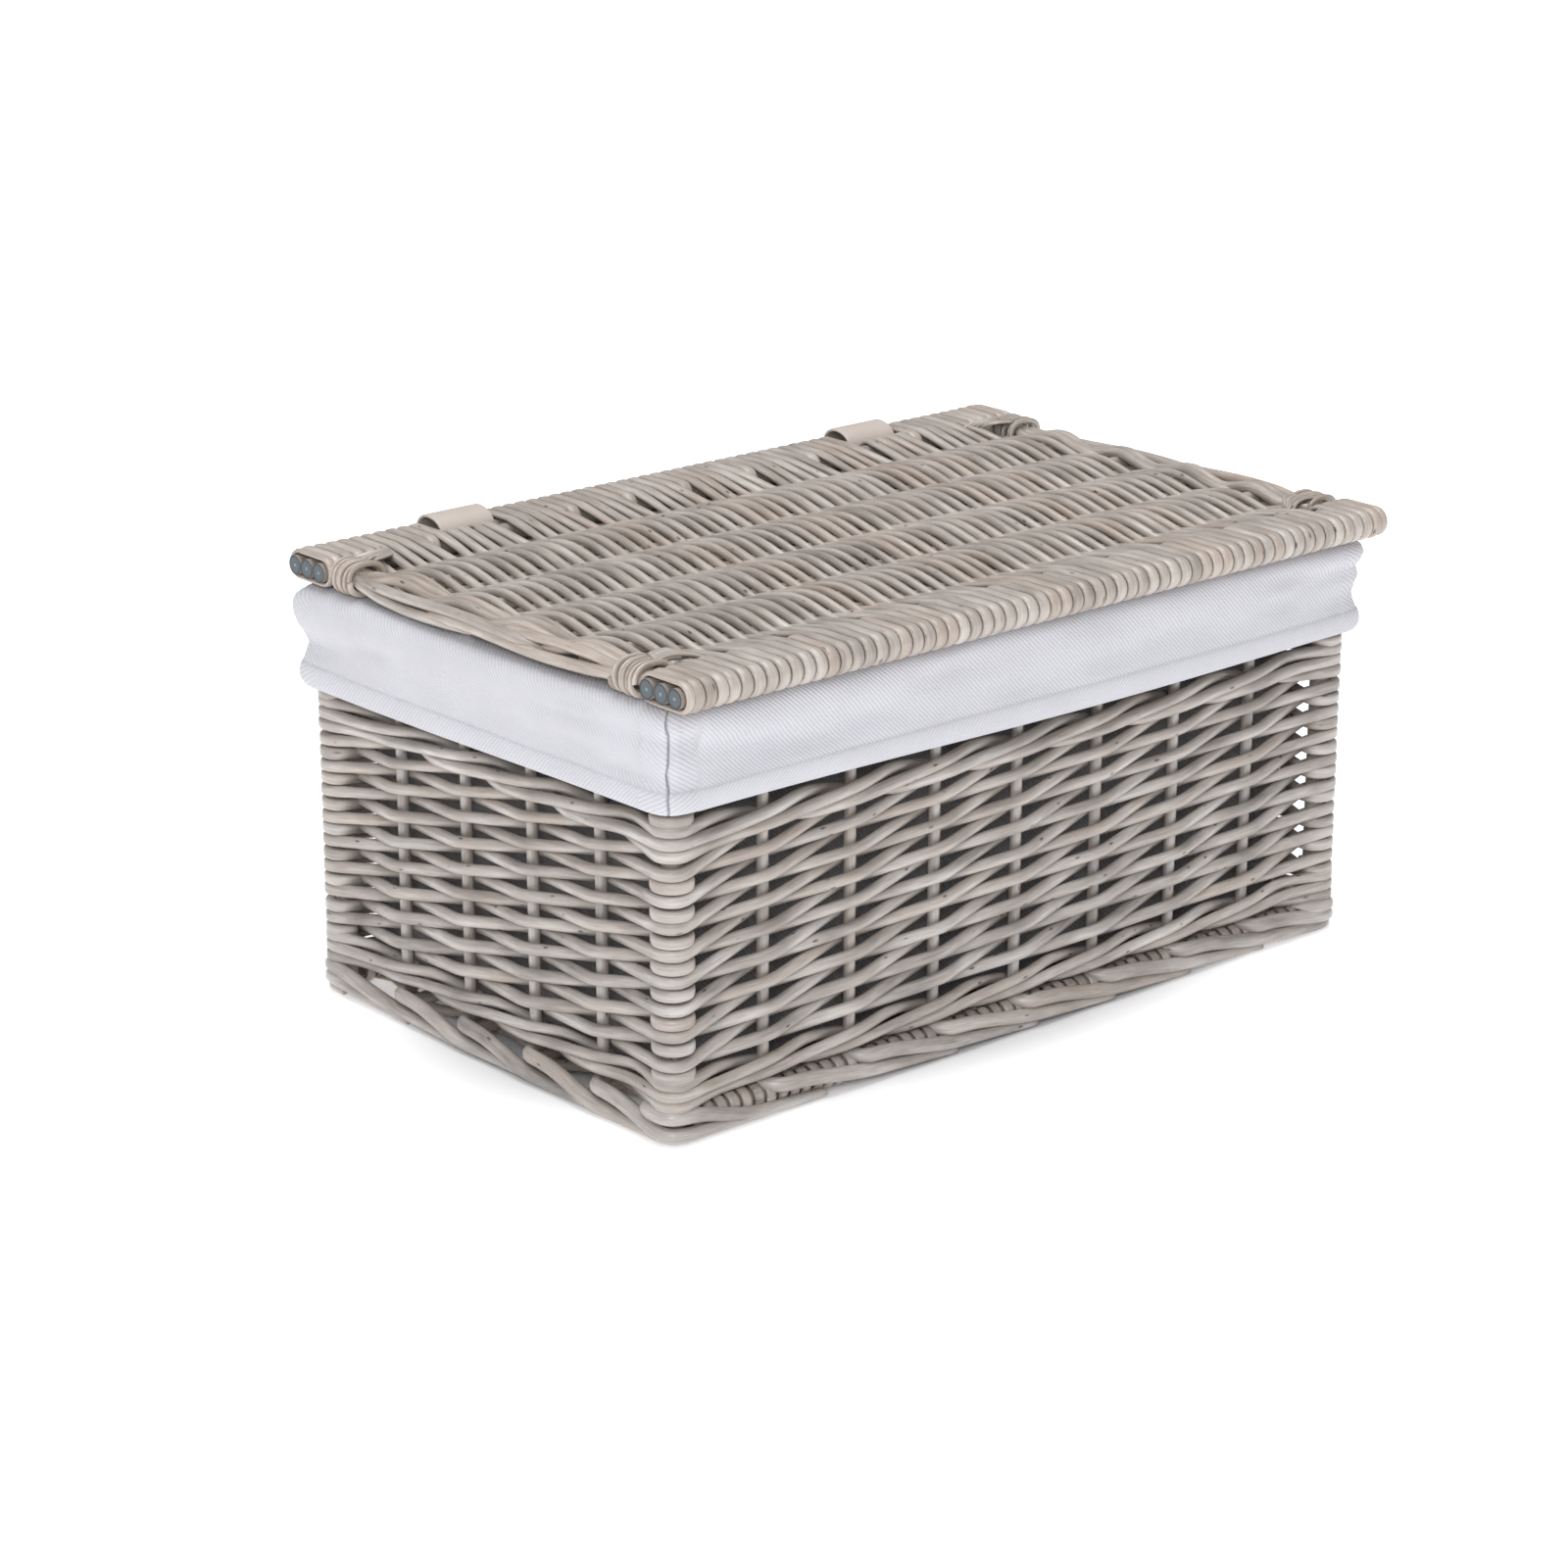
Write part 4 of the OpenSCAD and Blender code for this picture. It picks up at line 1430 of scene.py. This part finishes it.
    def build(
        self, rod: bpy.types.Material, split: bpy.types.Material, ends: bpy.types.Material
    ) -> None:
        """Make and dress all the pieces of the lid.

        Args:
            rod: Finish of the strands and sticks.
            split: Finish of the bindings.
            ends: Finish of the edge rods.
        """
        self.strands(rod)
        self.plaits(rod)
        self.bindings(split)
        sticks = RodWork("lid_stick_rods", 12, 61)
        x = np.linspace(-self.stick_half, self.stick_half, 60)
        for y in self.sticks:
            sticks.lay(np.column_stack([x, np.full(60, y), np.full(60, self.z)]), self.stick_r)
        sticks.make(rod, Body.LID, ("lid_sticks",))
        dress(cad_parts["lid_front_rods"], ends)
        dress(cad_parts["lid_back_rods"], ends)


@dataclass
class WovenBase:
    """The bottom, woven front to back over its sticks and round the two outer sticks."""

    z: float = 5.65
    sticks: tuple[float, ...] = (-46.45, -15.5, 15.5, 46.45)
    swing: float = 3.6
    edge_r: float = 3.25
    pitch: float = 4.87
    passes: int = 57
    strand_r: float = 1.65
    band_thick: float = 0.8
    band_half: float = 2.0

    def build(self, finish: bpy.types.Material) -> None:
        """Make the weave of the bottom.

        Args:
            finish: Finish of the rods.
        """
        low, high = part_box("base_outer_sticks")
        reach = (high.y - low.y) / 2 / MM - self.edge_r
        panel = WovenPanel(self.z, self.sticks, self.swing, reach, reach, Outline().centre)
        rng = np.random.default_rng(31)
        work = RodWork("base_strands", 8, 29)
        for k in range(self.passes):
            x = (k - (self.passes - 1) / 2) * self.pitch
            over = 1 if k % 2 else -1
            p = panel.strand(x, x + rng.normal(0, 0.2), x, over)
            flat = p[:, 3]
            thin = self.strand_r * (1 - flat)
            work.lay(
                p[:, :3], thin + self.band_thick * flat, thin + self.band_half * flat,
                up=(1.0, 0.0, 0.0),
            )
            for back in (False, True):
                work.lay(
                    panel.ring(x, back), self.band_thick, self.band_half - 0.1,
                    up=(1.0, 0.0, 0.0), closed=True,
                )
        work.make(finish, Body.BASKET, ("base_weave",))


# ---------------------------------------------------------------- cotton


@dataclass
class CottonLining:
    """The cotton: a cuff turned over the rim, and walls and floor inside.

    The cuff's corners stand as far inside the posts as corner_in says, and the higher the number
    corner_square is, the squarer they are.
    """

    plan: Outline = field(default_factory=Outline)
    hem_z: float = 107.3
    corner_in: float = 3.0
    corner_square: float = 4.2
    corner_run: float = 14.0
    cloth: float = 0.9
    floor_z: float = 11.6
    floor_in: float = 10.5

    @property
    def seams(self) -> np.ndarray:
        """Distances of the corner seams round the basket, that of the near corner last."""
        return np.cumsum([2 * self.plan.half(side) for side in Side])

    def ring(self) -> tuple[np.ndarray, np.ndarray, np.ndarray, np.ndarray]:
        """Work out where the columns of the cuff stand round the basket.

        Returns:
            Foot points on the line of the stakes, outward directions, distances round, and how
            near each column is to a corner seam, 1 on it.
        """
        feet, outs, run, seam = [], [], [], []
        s = 0.0
        for side in Side:
            half = self.plan.half(side)
            along, outward = self.plan.axes(side)
            inner = half - self.corner_in
            base = np.array(self.plan.centre) + self.plan.reach(side) * outward
            for place in [-inner, *np.linspace(-inner + 3, inner - 3, int(half / 1.6)), inner]:
                feet.append(base + place * along)
                outs.append(outward)
                run.append(s + place + half)
                seam.append(0.0)
            s += 2 * half
            post, power = self.plan.post(side), self.corner_square
            # the columns lie close together beside the seam, in the middle of the corner
            for angle in (
                *np.linspace(4, 41, 11), 42.7, 44.1, 45.0, 45.9, 47.3, *np.linspace(49, 86, 11)
            ):
                c, b = math.cos(math.radians(angle)), math.sin(math.radians(angle))
                square = (c**power + b**power) ** (-1 / power)
                foot = post - self.corner_in * along * (1 - b)
                feet.append(foot - self.corner_in * outward * (1 - c))
                outs.append((c * outward + b * along) * square)
                run.append(s + (angle - 45) / 90 * self.corner_run)
                seam.append(max(0.0, 1 - abs(angle - 45) / 2.3))
        return np.array(feet), np.array(outs), np.array(run), np.array(seam)

    def swell(self, outward: np.ndarray) -> float:
        """How far the cuff stands out under the lid on the wall that faces outward.

        Args:
            outward: Outward direction of the column.

        Returns:
            The swell.
        """
        return 0.35 if outward[1] > 0.75 else 2.0 if outward[0] < -0.5 else 1.4

    def puckers(self) -> list[tuple[float, float, float, float, float, float]]:
        """Draw the soft creases that the turned cloth makes, most of them near the corners.

        Returns:
            For each, its middle round the basket, height above the hem, lean, length, depth and width.
        """
        rng = np.random.default_rng(77)
        places = [
            (corner + way * rng.uniform(14, 34), 1.0)
            for corner in (0.0, *self.seams) for way in (-1, -1, 1, 1)
        ]
        places += [(rng.uniform(40, 880), 0.6) for _ in range(12)]
        drawn = [
            (place, rng.uniform(11, 27), rng.uniform(-0.16, 0.16), rng.uniform(14, 36),
             share * rng.uniform(0.9, 1.8), rng.uniform(1.5, 2.6))
            for place, share in places
        ]
        # two more show beside the near corner, one on each side of it
        return [*drawn, (893.0, 26.5, -0.05, 20.0, 1.6, 1.5), (30.0, 18.0, 0.06, 34.0, 1.5, 2.2)]

    def cuff(self, finish: bpy.types.Material) -> bpy.types.Object:
        """Make the cuff: a hem, a soft swell under the lid, and a turn over the rim.

        Args:
            finish: Finish of the cloth.

        Returns:
            The object.
        """
        feet, outs, run, seam = self.ring()
        rows = [
            # out, height above the hem, swell share, hem
            (8.9, 2.2, 0.0, 1), (8.6, 0.4, 0.0, 1), (9.2, -0.3, 0.0, 1), (10.0, 0.1, 0.1, 1),
            (10.5, 1.3, 0.2, 1), (10.75, 3.2, 0.3, 1), (10.75, 5.4, 0.3, 1), (10.6, 7.2, 0.2, 1),
            (10.35, 7.6, 0.15, 0), (10.35, 8.4, 0.1, 0), (10.05, 10.5, 0.1, 0), (9.85, 13.5, 0.22, 0),
            (9.9, 16.5, 0.45, 0), (10.1, 19.5, 0.68, 0), (10.15, 22.5, 0.85, 0), (10.1, 25.2, 0.97, 0),
            (9.9, 27.6, 1.0, 0), (9.3, 29.8, 0.9, 0), (8.2, 31.5, 0.6, 0), (6.6, 32.5, 0.3, 0),
            (4.4, 32.9, 0.1, 0), (2.0, 32.9, 0.0, 0), (-0.6, 32.9, 0.0, 0), (-3.4, 32.8, 0.0, 0),
            (-6.2, 32.2, 0.0, 0), (-8.3, 30.7, 0.0, 0), (-9.3, 28.2, 0.0, 0), (-9.3, 24.2, 0.0, 0),
        ]
        n, m = len(feet), len(rows)
        verts = np.zeros((m, n, 3))
        uv = np.zeros((m, n, 2))
        hem, seam_shade = np.zeros((m, n)), np.zeros((m, n))
        folds = self.puckers()
        wave = 0.55 * np.sin(run / 31 + 0.8) + 0.4 * np.sin(run / 13.7 + 2.0) + 0.22 * np.sin(run / 6.1)
        back = np.where(outs[:, 1] > 0.5, 0.35, 1.0)
        # how near each column is to the near corner, and to any of the others
        *others, last = self.seams
        first = np.exp(-((np.minimum(run + self.corner_run / 2, np.abs(run - last)) / 11) ** 2))
        near = np.exp(-((np.abs(run[:, None] - np.array(others)).min(1) / 15) ** 2))
        stitched = np.exp(-((seam - 1) / 0.8) ** 2) * (seam > 0)
        climb = 0.0
        for j, (out, up, share, is_hem) in enumerate(rows):
            if j:
                climb += math.hypot(out - rows[j - 1][0], up - rows[j - 1][1])
            dip = 0.8 * np.sin(run / 47 + 1.0) * (1 - min(1.0, max(0.0, up) / 12))
            swell = np.array([self.swell(o) for o in outs]) * share
            ease = min(1.0, max(0.0, up - 1.0) / 9) * (1.0 if out > 6 else 0.25)
            crease = 0.22 * np.sin(run / 8.3 + up / 3.1) * np.sin(up / 5.3 + run / 55)
            for centre, level, lean, length, deep, width in folds:
                off = run - centre
                line = np.exp(-(((up - level - lean * off) / width) ** 2) - (off / length) ** 2)
                crease = crease - deep * line
            reach = out + swell + (wave * 0.55 + crease) * ease * back
            reach = reach - seam * (0.75 if out > 3 else 0.2)
            reach = reach - first * 1.3 * share
            if out > 6:
                reach = reach + near * (0.9 * share - 1.5 * math.exp(-(((up - 14.5) / 4.5) ** 2)))
            verts[j, :, :2] = feet + outs * reach[:, None]
            # the corner seam wanders a little
            drift = (0.45 * math.sin(up / 2.7) + 0.3 * math.sin(up / 1.3 + 1)) * stitched
            verts[j, :, 0] += -outs[:, 1] * drift
            verts[j, :, 1] += outs[:, 0] * drift
            verts[j, :, 2] = self.hem_z + up + dip
            uv[j, :, 0] = run
            uv[j, :, 1] = climb
            hem[j] = is_hem
            # painted shade along the corner seam, weaker on the cuff's inner side
            seam_shade[j] = seam * (1.0 if out > 3 else 0.4)
        return self.skin(
            "cotton_cuff", verts, uv, {"hem": hem, "seam": seam_shade * 0.75}, True, finish,
            ("cuff_front", "cuff_back", "cuff_left", "cuff_right"),
        )

    def skin(
        self,
        name: str,
        verts: np.ndarray,
        uv: np.ndarray,
        marks: dict[str, np.ndarray],
        closed: bool,
        finish: bpy.types.Material,
        nodes: tuple[str, ...],
        shade_backing: bpy.types.Material | None = None,
    ) -> bpy.types.Object:
        """Make a grid of points into a sheet with real thickness.

        Args:
            name: Name of the piece.
            verts: Rows and columns of points.
            uv: Place in the cloth of each point.
            marks: Values for the finish at each point, by name.
            closed: Whether the columns run round to the first again.
            finish: Material of the cloth.
            nodes: CAD nodes that the sheet stands for.
            shade_backing: Material of its outer side, if that has its own; the walls' dark grey one is
                painted shade.

        Returns:
            The object.
        """
        m, n = verts.shape[:2]
        faces, corners = [], []
        for j in range(m - 1):
            for i in range(n if closed else n - 1):
                q = (i + 1) % n
                faces.append((j * n + i, j * n + q, (j + 1) * n + q, (j + 1) * n + i))
                wrap = uv[0, -1, 0] + 1.0 if q == 0 else 0.0
                corners += [uv[j, i], uv[j, q] + (wrap, 0), uv[j + 1, q] + (wrap, 0), uv[j + 1, i]]
        piece = new_piece(name, verts, faces, *((shade_backing, finish) if shade_backing else (finish,)))
        layer = piece.data.uv_layers.new(name="cloth")
        layer.data.foreach_set("uv", (np.array(corners) * MM).ravel())
        for key in ("hem", "seam"):
            mark(piece, key, marks.get(key, np.zeros((m, n))))
        pick(piece)
        thick = piece.modifiers.new("thickness", "SOLIDIFY")
        thick.thickness = self.cloth * MM
        thick.offset = -1.0
        thick.material_offset = thick.material_offset_rim = 1 if shade_backing else 0
        bpy.ops.object.modifier_apply(modifier=thick.name)
        piece.select_set(False)
        return settle(piece, Body.BASKET, nodes)

    def inside(self, finish: bpy.types.Material, shade_backing: bpy.types.Material) -> None:
        """Make the walls and floor inside, with soft folds near the corners and a rounded foot.

        Args:
            finish: Finish of the cloth.
            shade_backing: Finish of the walls' outer side, a dark grey that paints the shade behind the
                rods.
        """
        rows = [
            # height, distance inside the line of the stakes
            (133.5, 8.35), (128, 8.6), (118, 8.7), (105, 8.75), (90, 8.8), (75, 8.8), (60, 8.85),
            (45, 8.9), (30, 8.95), (20, 9.1), (15, 9.7), (12.6, 11.2), (12.1, 14.0),
        ]
        for side in Side:
            half = self.plan.half(side)
            count = int(half / 2.2)
            verts = np.zeros((len(rows), count, 3))
            uv = np.zeros((len(rows), count, 2))
            for j, (z, back) in enumerate(rows):
                t = np.linspace(-half + back, half - back, count)
                edge = np.exp(-(((half - np.abs(t)) / 22) ** 2))
                fold = 0.5 * np.sin(t / 5.1 + z / 40) * edge
                fold = fold + 0.3 * np.sin(t / 17 + z / 25 + side.value)
                fade = 1.0 if 20 < z < 128 else 0.2
                out = -back - 0.45 - (fold + 0.6) * fade
                # the ends meet those of the next walls in the corners
                out[[0, -1]] = -back
                verts[j] = self.plan.point(side, t, out, np.full(count, z))
                uv[j, :, 0] = t
                uv[j, :, 1] = z
            # painted shade in the corners where two walls meet
            seam = np.zeros((len(rows), count))
            seam[:, [0, -1]] = 0.6
            name = side.name.lower()
            piece = self.skin(
                f"cotton_wall_{name}", verts[::-1], uv[::-1], {"seam": seam}, False, finish,
                (f"liner_wall_{name}",), shade_backing,
            )
        hx, hy = self.plan.half_x - self.floor_in, self.plan.half_y - self.floor_in
        gx, gy = np.meshgrid(np.linspace(-hx, hx, 84), np.linspace(-hy, hy, 50))
        wrinkle = 0.25 * np.sin(gx / 9 + gy / 21) * np.sin(gy / 12) + 0.2 * np.sin(gx / 23 - gy / 7)
        cx, cy = self.plan.centre
        verts = np.stack([gx + cx, gy + cy, self.floor_z + wrinkle], -1)[::-1]
        piece = self.skin(
            "cotton_floor", verts, np.stack([gx, gy], -1)[::-1], {}, False, finish,
            ("liner_floor",), shade_backing,
        )

    def build(self, finish: bpy.types.Material, shade_backing: bpy.types.Material) -> None:
        """Make all the cotton pieces.

        Args:
            finish: Finish of the cloth.
            shade_backing: Finish of the outer side of the walls inside, a dark grey that paints the
                shade behind the rods.
        """
        cuff = self.cuff(finish)
        self.inside(finish, shade_backing)


# ---------------------------------------------------------------- straps


@dataclass
class HingeStrap:
    """One flat band that goes through the wall under the rim and over the lid's back bundle."""

    x: float
    name: str
    half: float = 11.0
    thick: float = 1.1
    lid_z: float = 146.05

    def band(self, name: str, path: np.ndarray, finish: bpy.types.Material) -> bpy.types.Object:
        """Make a band along a path in the plane across the basket.

        Args:
            name: Name of the piece.
            path: Points of its middle line, y and z.
            finish: Finish of the band.

        Returns:
            The object.
        """
        tangent = np.gradient(path, axis=0)
        tangent /= np.linalg.norm(tangent, axis=1)[:, None]
        side = np.column_stack([tangent[:, 1], -tangent[:, 0]])
        # half of the section, with its two edges eased; the other half is the same, turned round
        edge = np.array([(-1, -0.45), (-0.965, -0.95), (-0.92, -1), (-0.5, -1), (0, -1), (0.5, -1),
                         (0.92, -1), (0.965, -0.95), (1, -0.45)])
        edge = np.vstack([edge, -edge])
        k, n = len(edge), len(path)
        verts = np.zeros((n, k, 3))
        verts[..., 0] = self.x + edge[:, 0] * self.half
        verts[..., 1:] = path[:, None] + side[:, None] * (edge[:, 1] * self.thick / 2)[None, :, None]
        faces = [
            (i * k + j, (i + 1) * k + j, (i + 1) * k + (j + 1) % k, i * k + (j + 1) % k)
            for i in range(n - 1) for j in range(k)
        ]
        faces += [tuple(range(k)), tuple((n - 1) * k + j for j in reversed(range(k)))]
        piece = new_piece(name, verts, faces, finish)
        pick(piece)
        bpy.ops.object.mode_set(mode="EDIT")
        bpy.ops.mesh.select_all(action="SELECT")
        bpy.ops.mesh.normals_make_consistent(inside=False)
        bpy.ops.object.mode_set(mode="OBJECT")
        bpy.ops.object.shade_smooth_by_angle(angle=math.radians(50))
        piece.select_set(False)
        return piece

    def build(self, finish: bpy.types.Material) -> None:
        """Make the band, which bends at the hinge, and its part under the lid.

        Args:
            finish: Finish of the band.
        """
        z0 = self.lid_z
        points = [(77.2, 136.6), (77.2, 133), (77.5, 129), (78.6, 126.3), (80.6, 125.65), (84, 125.6),
                  (90, 125.6), (95.5, 125.65), (97.9, 126.4), (98.75, 129), (98.9, 134), (99.1, 138.5),
                  (100.2, z0 - 4.4), (101.3, z0 - 1.2), (101.3, z0 + 2.4), (99.8, z0 + 5.4),
                  (96.6, z0 + 7.0), (93.0, z0 + 6.9), (89.8, z0 + 5.7), (87.9, z0 + 3.4),
                  (87.5, z0 + 0.4)]
        path = through([(0.0, y, z) for y, z in points], 1.2)[:, 1:]
        strap = self.band(f"hinge_strap_{self.name}", path, finish)
        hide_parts(f"strap_rim_loop_{self.name}", f"strap_lid_loop_{self.name}")
        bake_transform(strap)
        LOG.info("%s: bends between the basket and the lid", strap.name)
        low = [(87.5, z0 + 0.2), (87.6, z0 - 2.2), (88.8, z0 - 4.1), (91, z0 - 4.7), (94, z0 - 4.7),
               (97.2, z0 - 4.3), (99.2, z0 - 2.9)]
        under = self.band(
            f"strap_under_lid_{self.name}", through([(0.0, y, z) for y, z in low], 1.2)[:, 1:], finish
        )
        settle(under, Body.LID, ())


# ---------------------------------------------------------------- studio


@dataclass
class Studio:
    """White floor, soft lights, and the camera at the photograph's place.

    The eye is in millimetres, its two angles in degrees, and the lens is that of a 36 mm frame.
    """

    eye: tuple[float, float, float] = (-913.7, -1018.1, 521.2)
    azimuth: float = -41.03
    elevation: float = 18.56
    lens: float = 98.8
    frame_width: float = 36.0
    aim: tuple[float, float, float] = (0.0, 0.0, 0.07)
    sky: str = "#F6F9FF"
    sky_strength: float = 0.40

    def light(
        self, name: str, place: tuple[float, float, float], size: float, watts: float, tone: str
    ) -> None:
        """Add a square soft light that looks at the basket.

        Args:
            name: Name of the light.
            place: Its place in metres.
            size: Length of its side in metres.
            watts: Its power.
            tone: Its colour.
        """
        lamp = bpy.data.lights.new(name, "AREA")
        lamp.size = size
        lamp.energy = watts
        lamp.color = linear(tone)[:3]
        holder = bpy.data.objects.new(name, lamp)
        bpy.context.scene.collection.objects.link(holder)
        holder.location = place
        aim = Vector(self.aim) - Vector(place)
        holder.rotation_euler = aim.to_track_quat("-Z", "Y").to_euler()

    def build(self) -> None:
        """Make the floor, the lights, the surroundings and the camera."""
        bpy.ops.object.select_all(action="DESELECT")
        bpy.ops.mesh.primitive_plane_add(size=24.0, location=(0.0, 0.0, 0.0))
        floor = bpy.context.object
        floor.name = "studio_floor"
        floor.data.materials.append(PaleFloor().build())
        world = bpy.data.worlds.new("studio_surroundings")
        bpy.context.scene.world = world
        world.use_nodes = True
        glow = next(n for n in world.node_tree.nodes if n.type == "BACKGROUND")
        glow.inputs["Color"].default_value = linear(self.sky)
        glow.inputs["Strength"].default_value = self.sky_strength
        self.light("overhead_softbox", (-0.05, 0.0, 1.6), 1.3, 18.5, "#FFFFFF")
        self.light("key_softbox", (-1.42, -1.28, 1.05), 0.75, 14.8, "#FBFCFF")
        camera = bpy.data.cameras.new("photo_camera")
        camera.lens = self.lens
        camera.sensor_width = self.frame_width
        camera.clip_end = 60.0
        holder = bpy.data.objects.new("photo_camera", camera)
        bpy.context.scene.collection.objects.link(holder)
        az, el = math.radians(self.azimuth), math.radians(self.elevation)
        back = Vector((math.sin(az) * math.cos(el), -math.cos(az) * math.cos(el), math.sin(el)))
        turn = back.to_track_quat("Z", "Y").to_matrix().to_4x4()
        holder.matrix_world = Matrix.Translation(Vector(self.eye) * MM) @ turn
        bpy.context.scene.camera = holder
        bpy.context.scene.view_settings.view_transform = "Standard"


def main() -> None:
    """Build the basket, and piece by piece."""
    logging.basicConfig(level=logging.INFO, format="%(name)s: %(message)s")
    Studio().build()
    rod = WashedWillow("washed_willow_rod").build()
    pole = WashedWillow("washed_willow_stick", middle="#A0968C", along_rod=False).build()
    split = WashedWillow(
        "split_washed_willow", middle="#ADA399", light="#CAC2BA", roughness=0.32, sheen_coat=0.5
    ).build()
    ends = SawnRodEnd("sawn_washed_willow").build()
    cotton = CottonTwill("white_cotton_twill").build()
    # the liner's outer side is painted shade: dark grey where the white cotton lies in shadow behind
    # the rods
    shade_backing = CottonTwill("cotton_backing_painted_shade", thread="#8F8D8C", hollow="#7B7978").build()
    strap = CoatedStrap("beige_coated_strap").build()
    wall = WashedWillow(
        "washed_willow_weaver", middle="#AEA69F", light="#C7C2BC", dark="#8B847E", warm="#B5A699"
    ).build()
    WovenBody().build(wall, pole)
    WovenBase().build(rod)
    WovenLid().build(rod, split, ends)
    CottonLining().build(cotton, shade_backing)
    for name, x in (("left", -90.0), ("right", 90.0)):
        HingeStrap(x, name).build(strap)


if __name__ == "__main__":
    main()
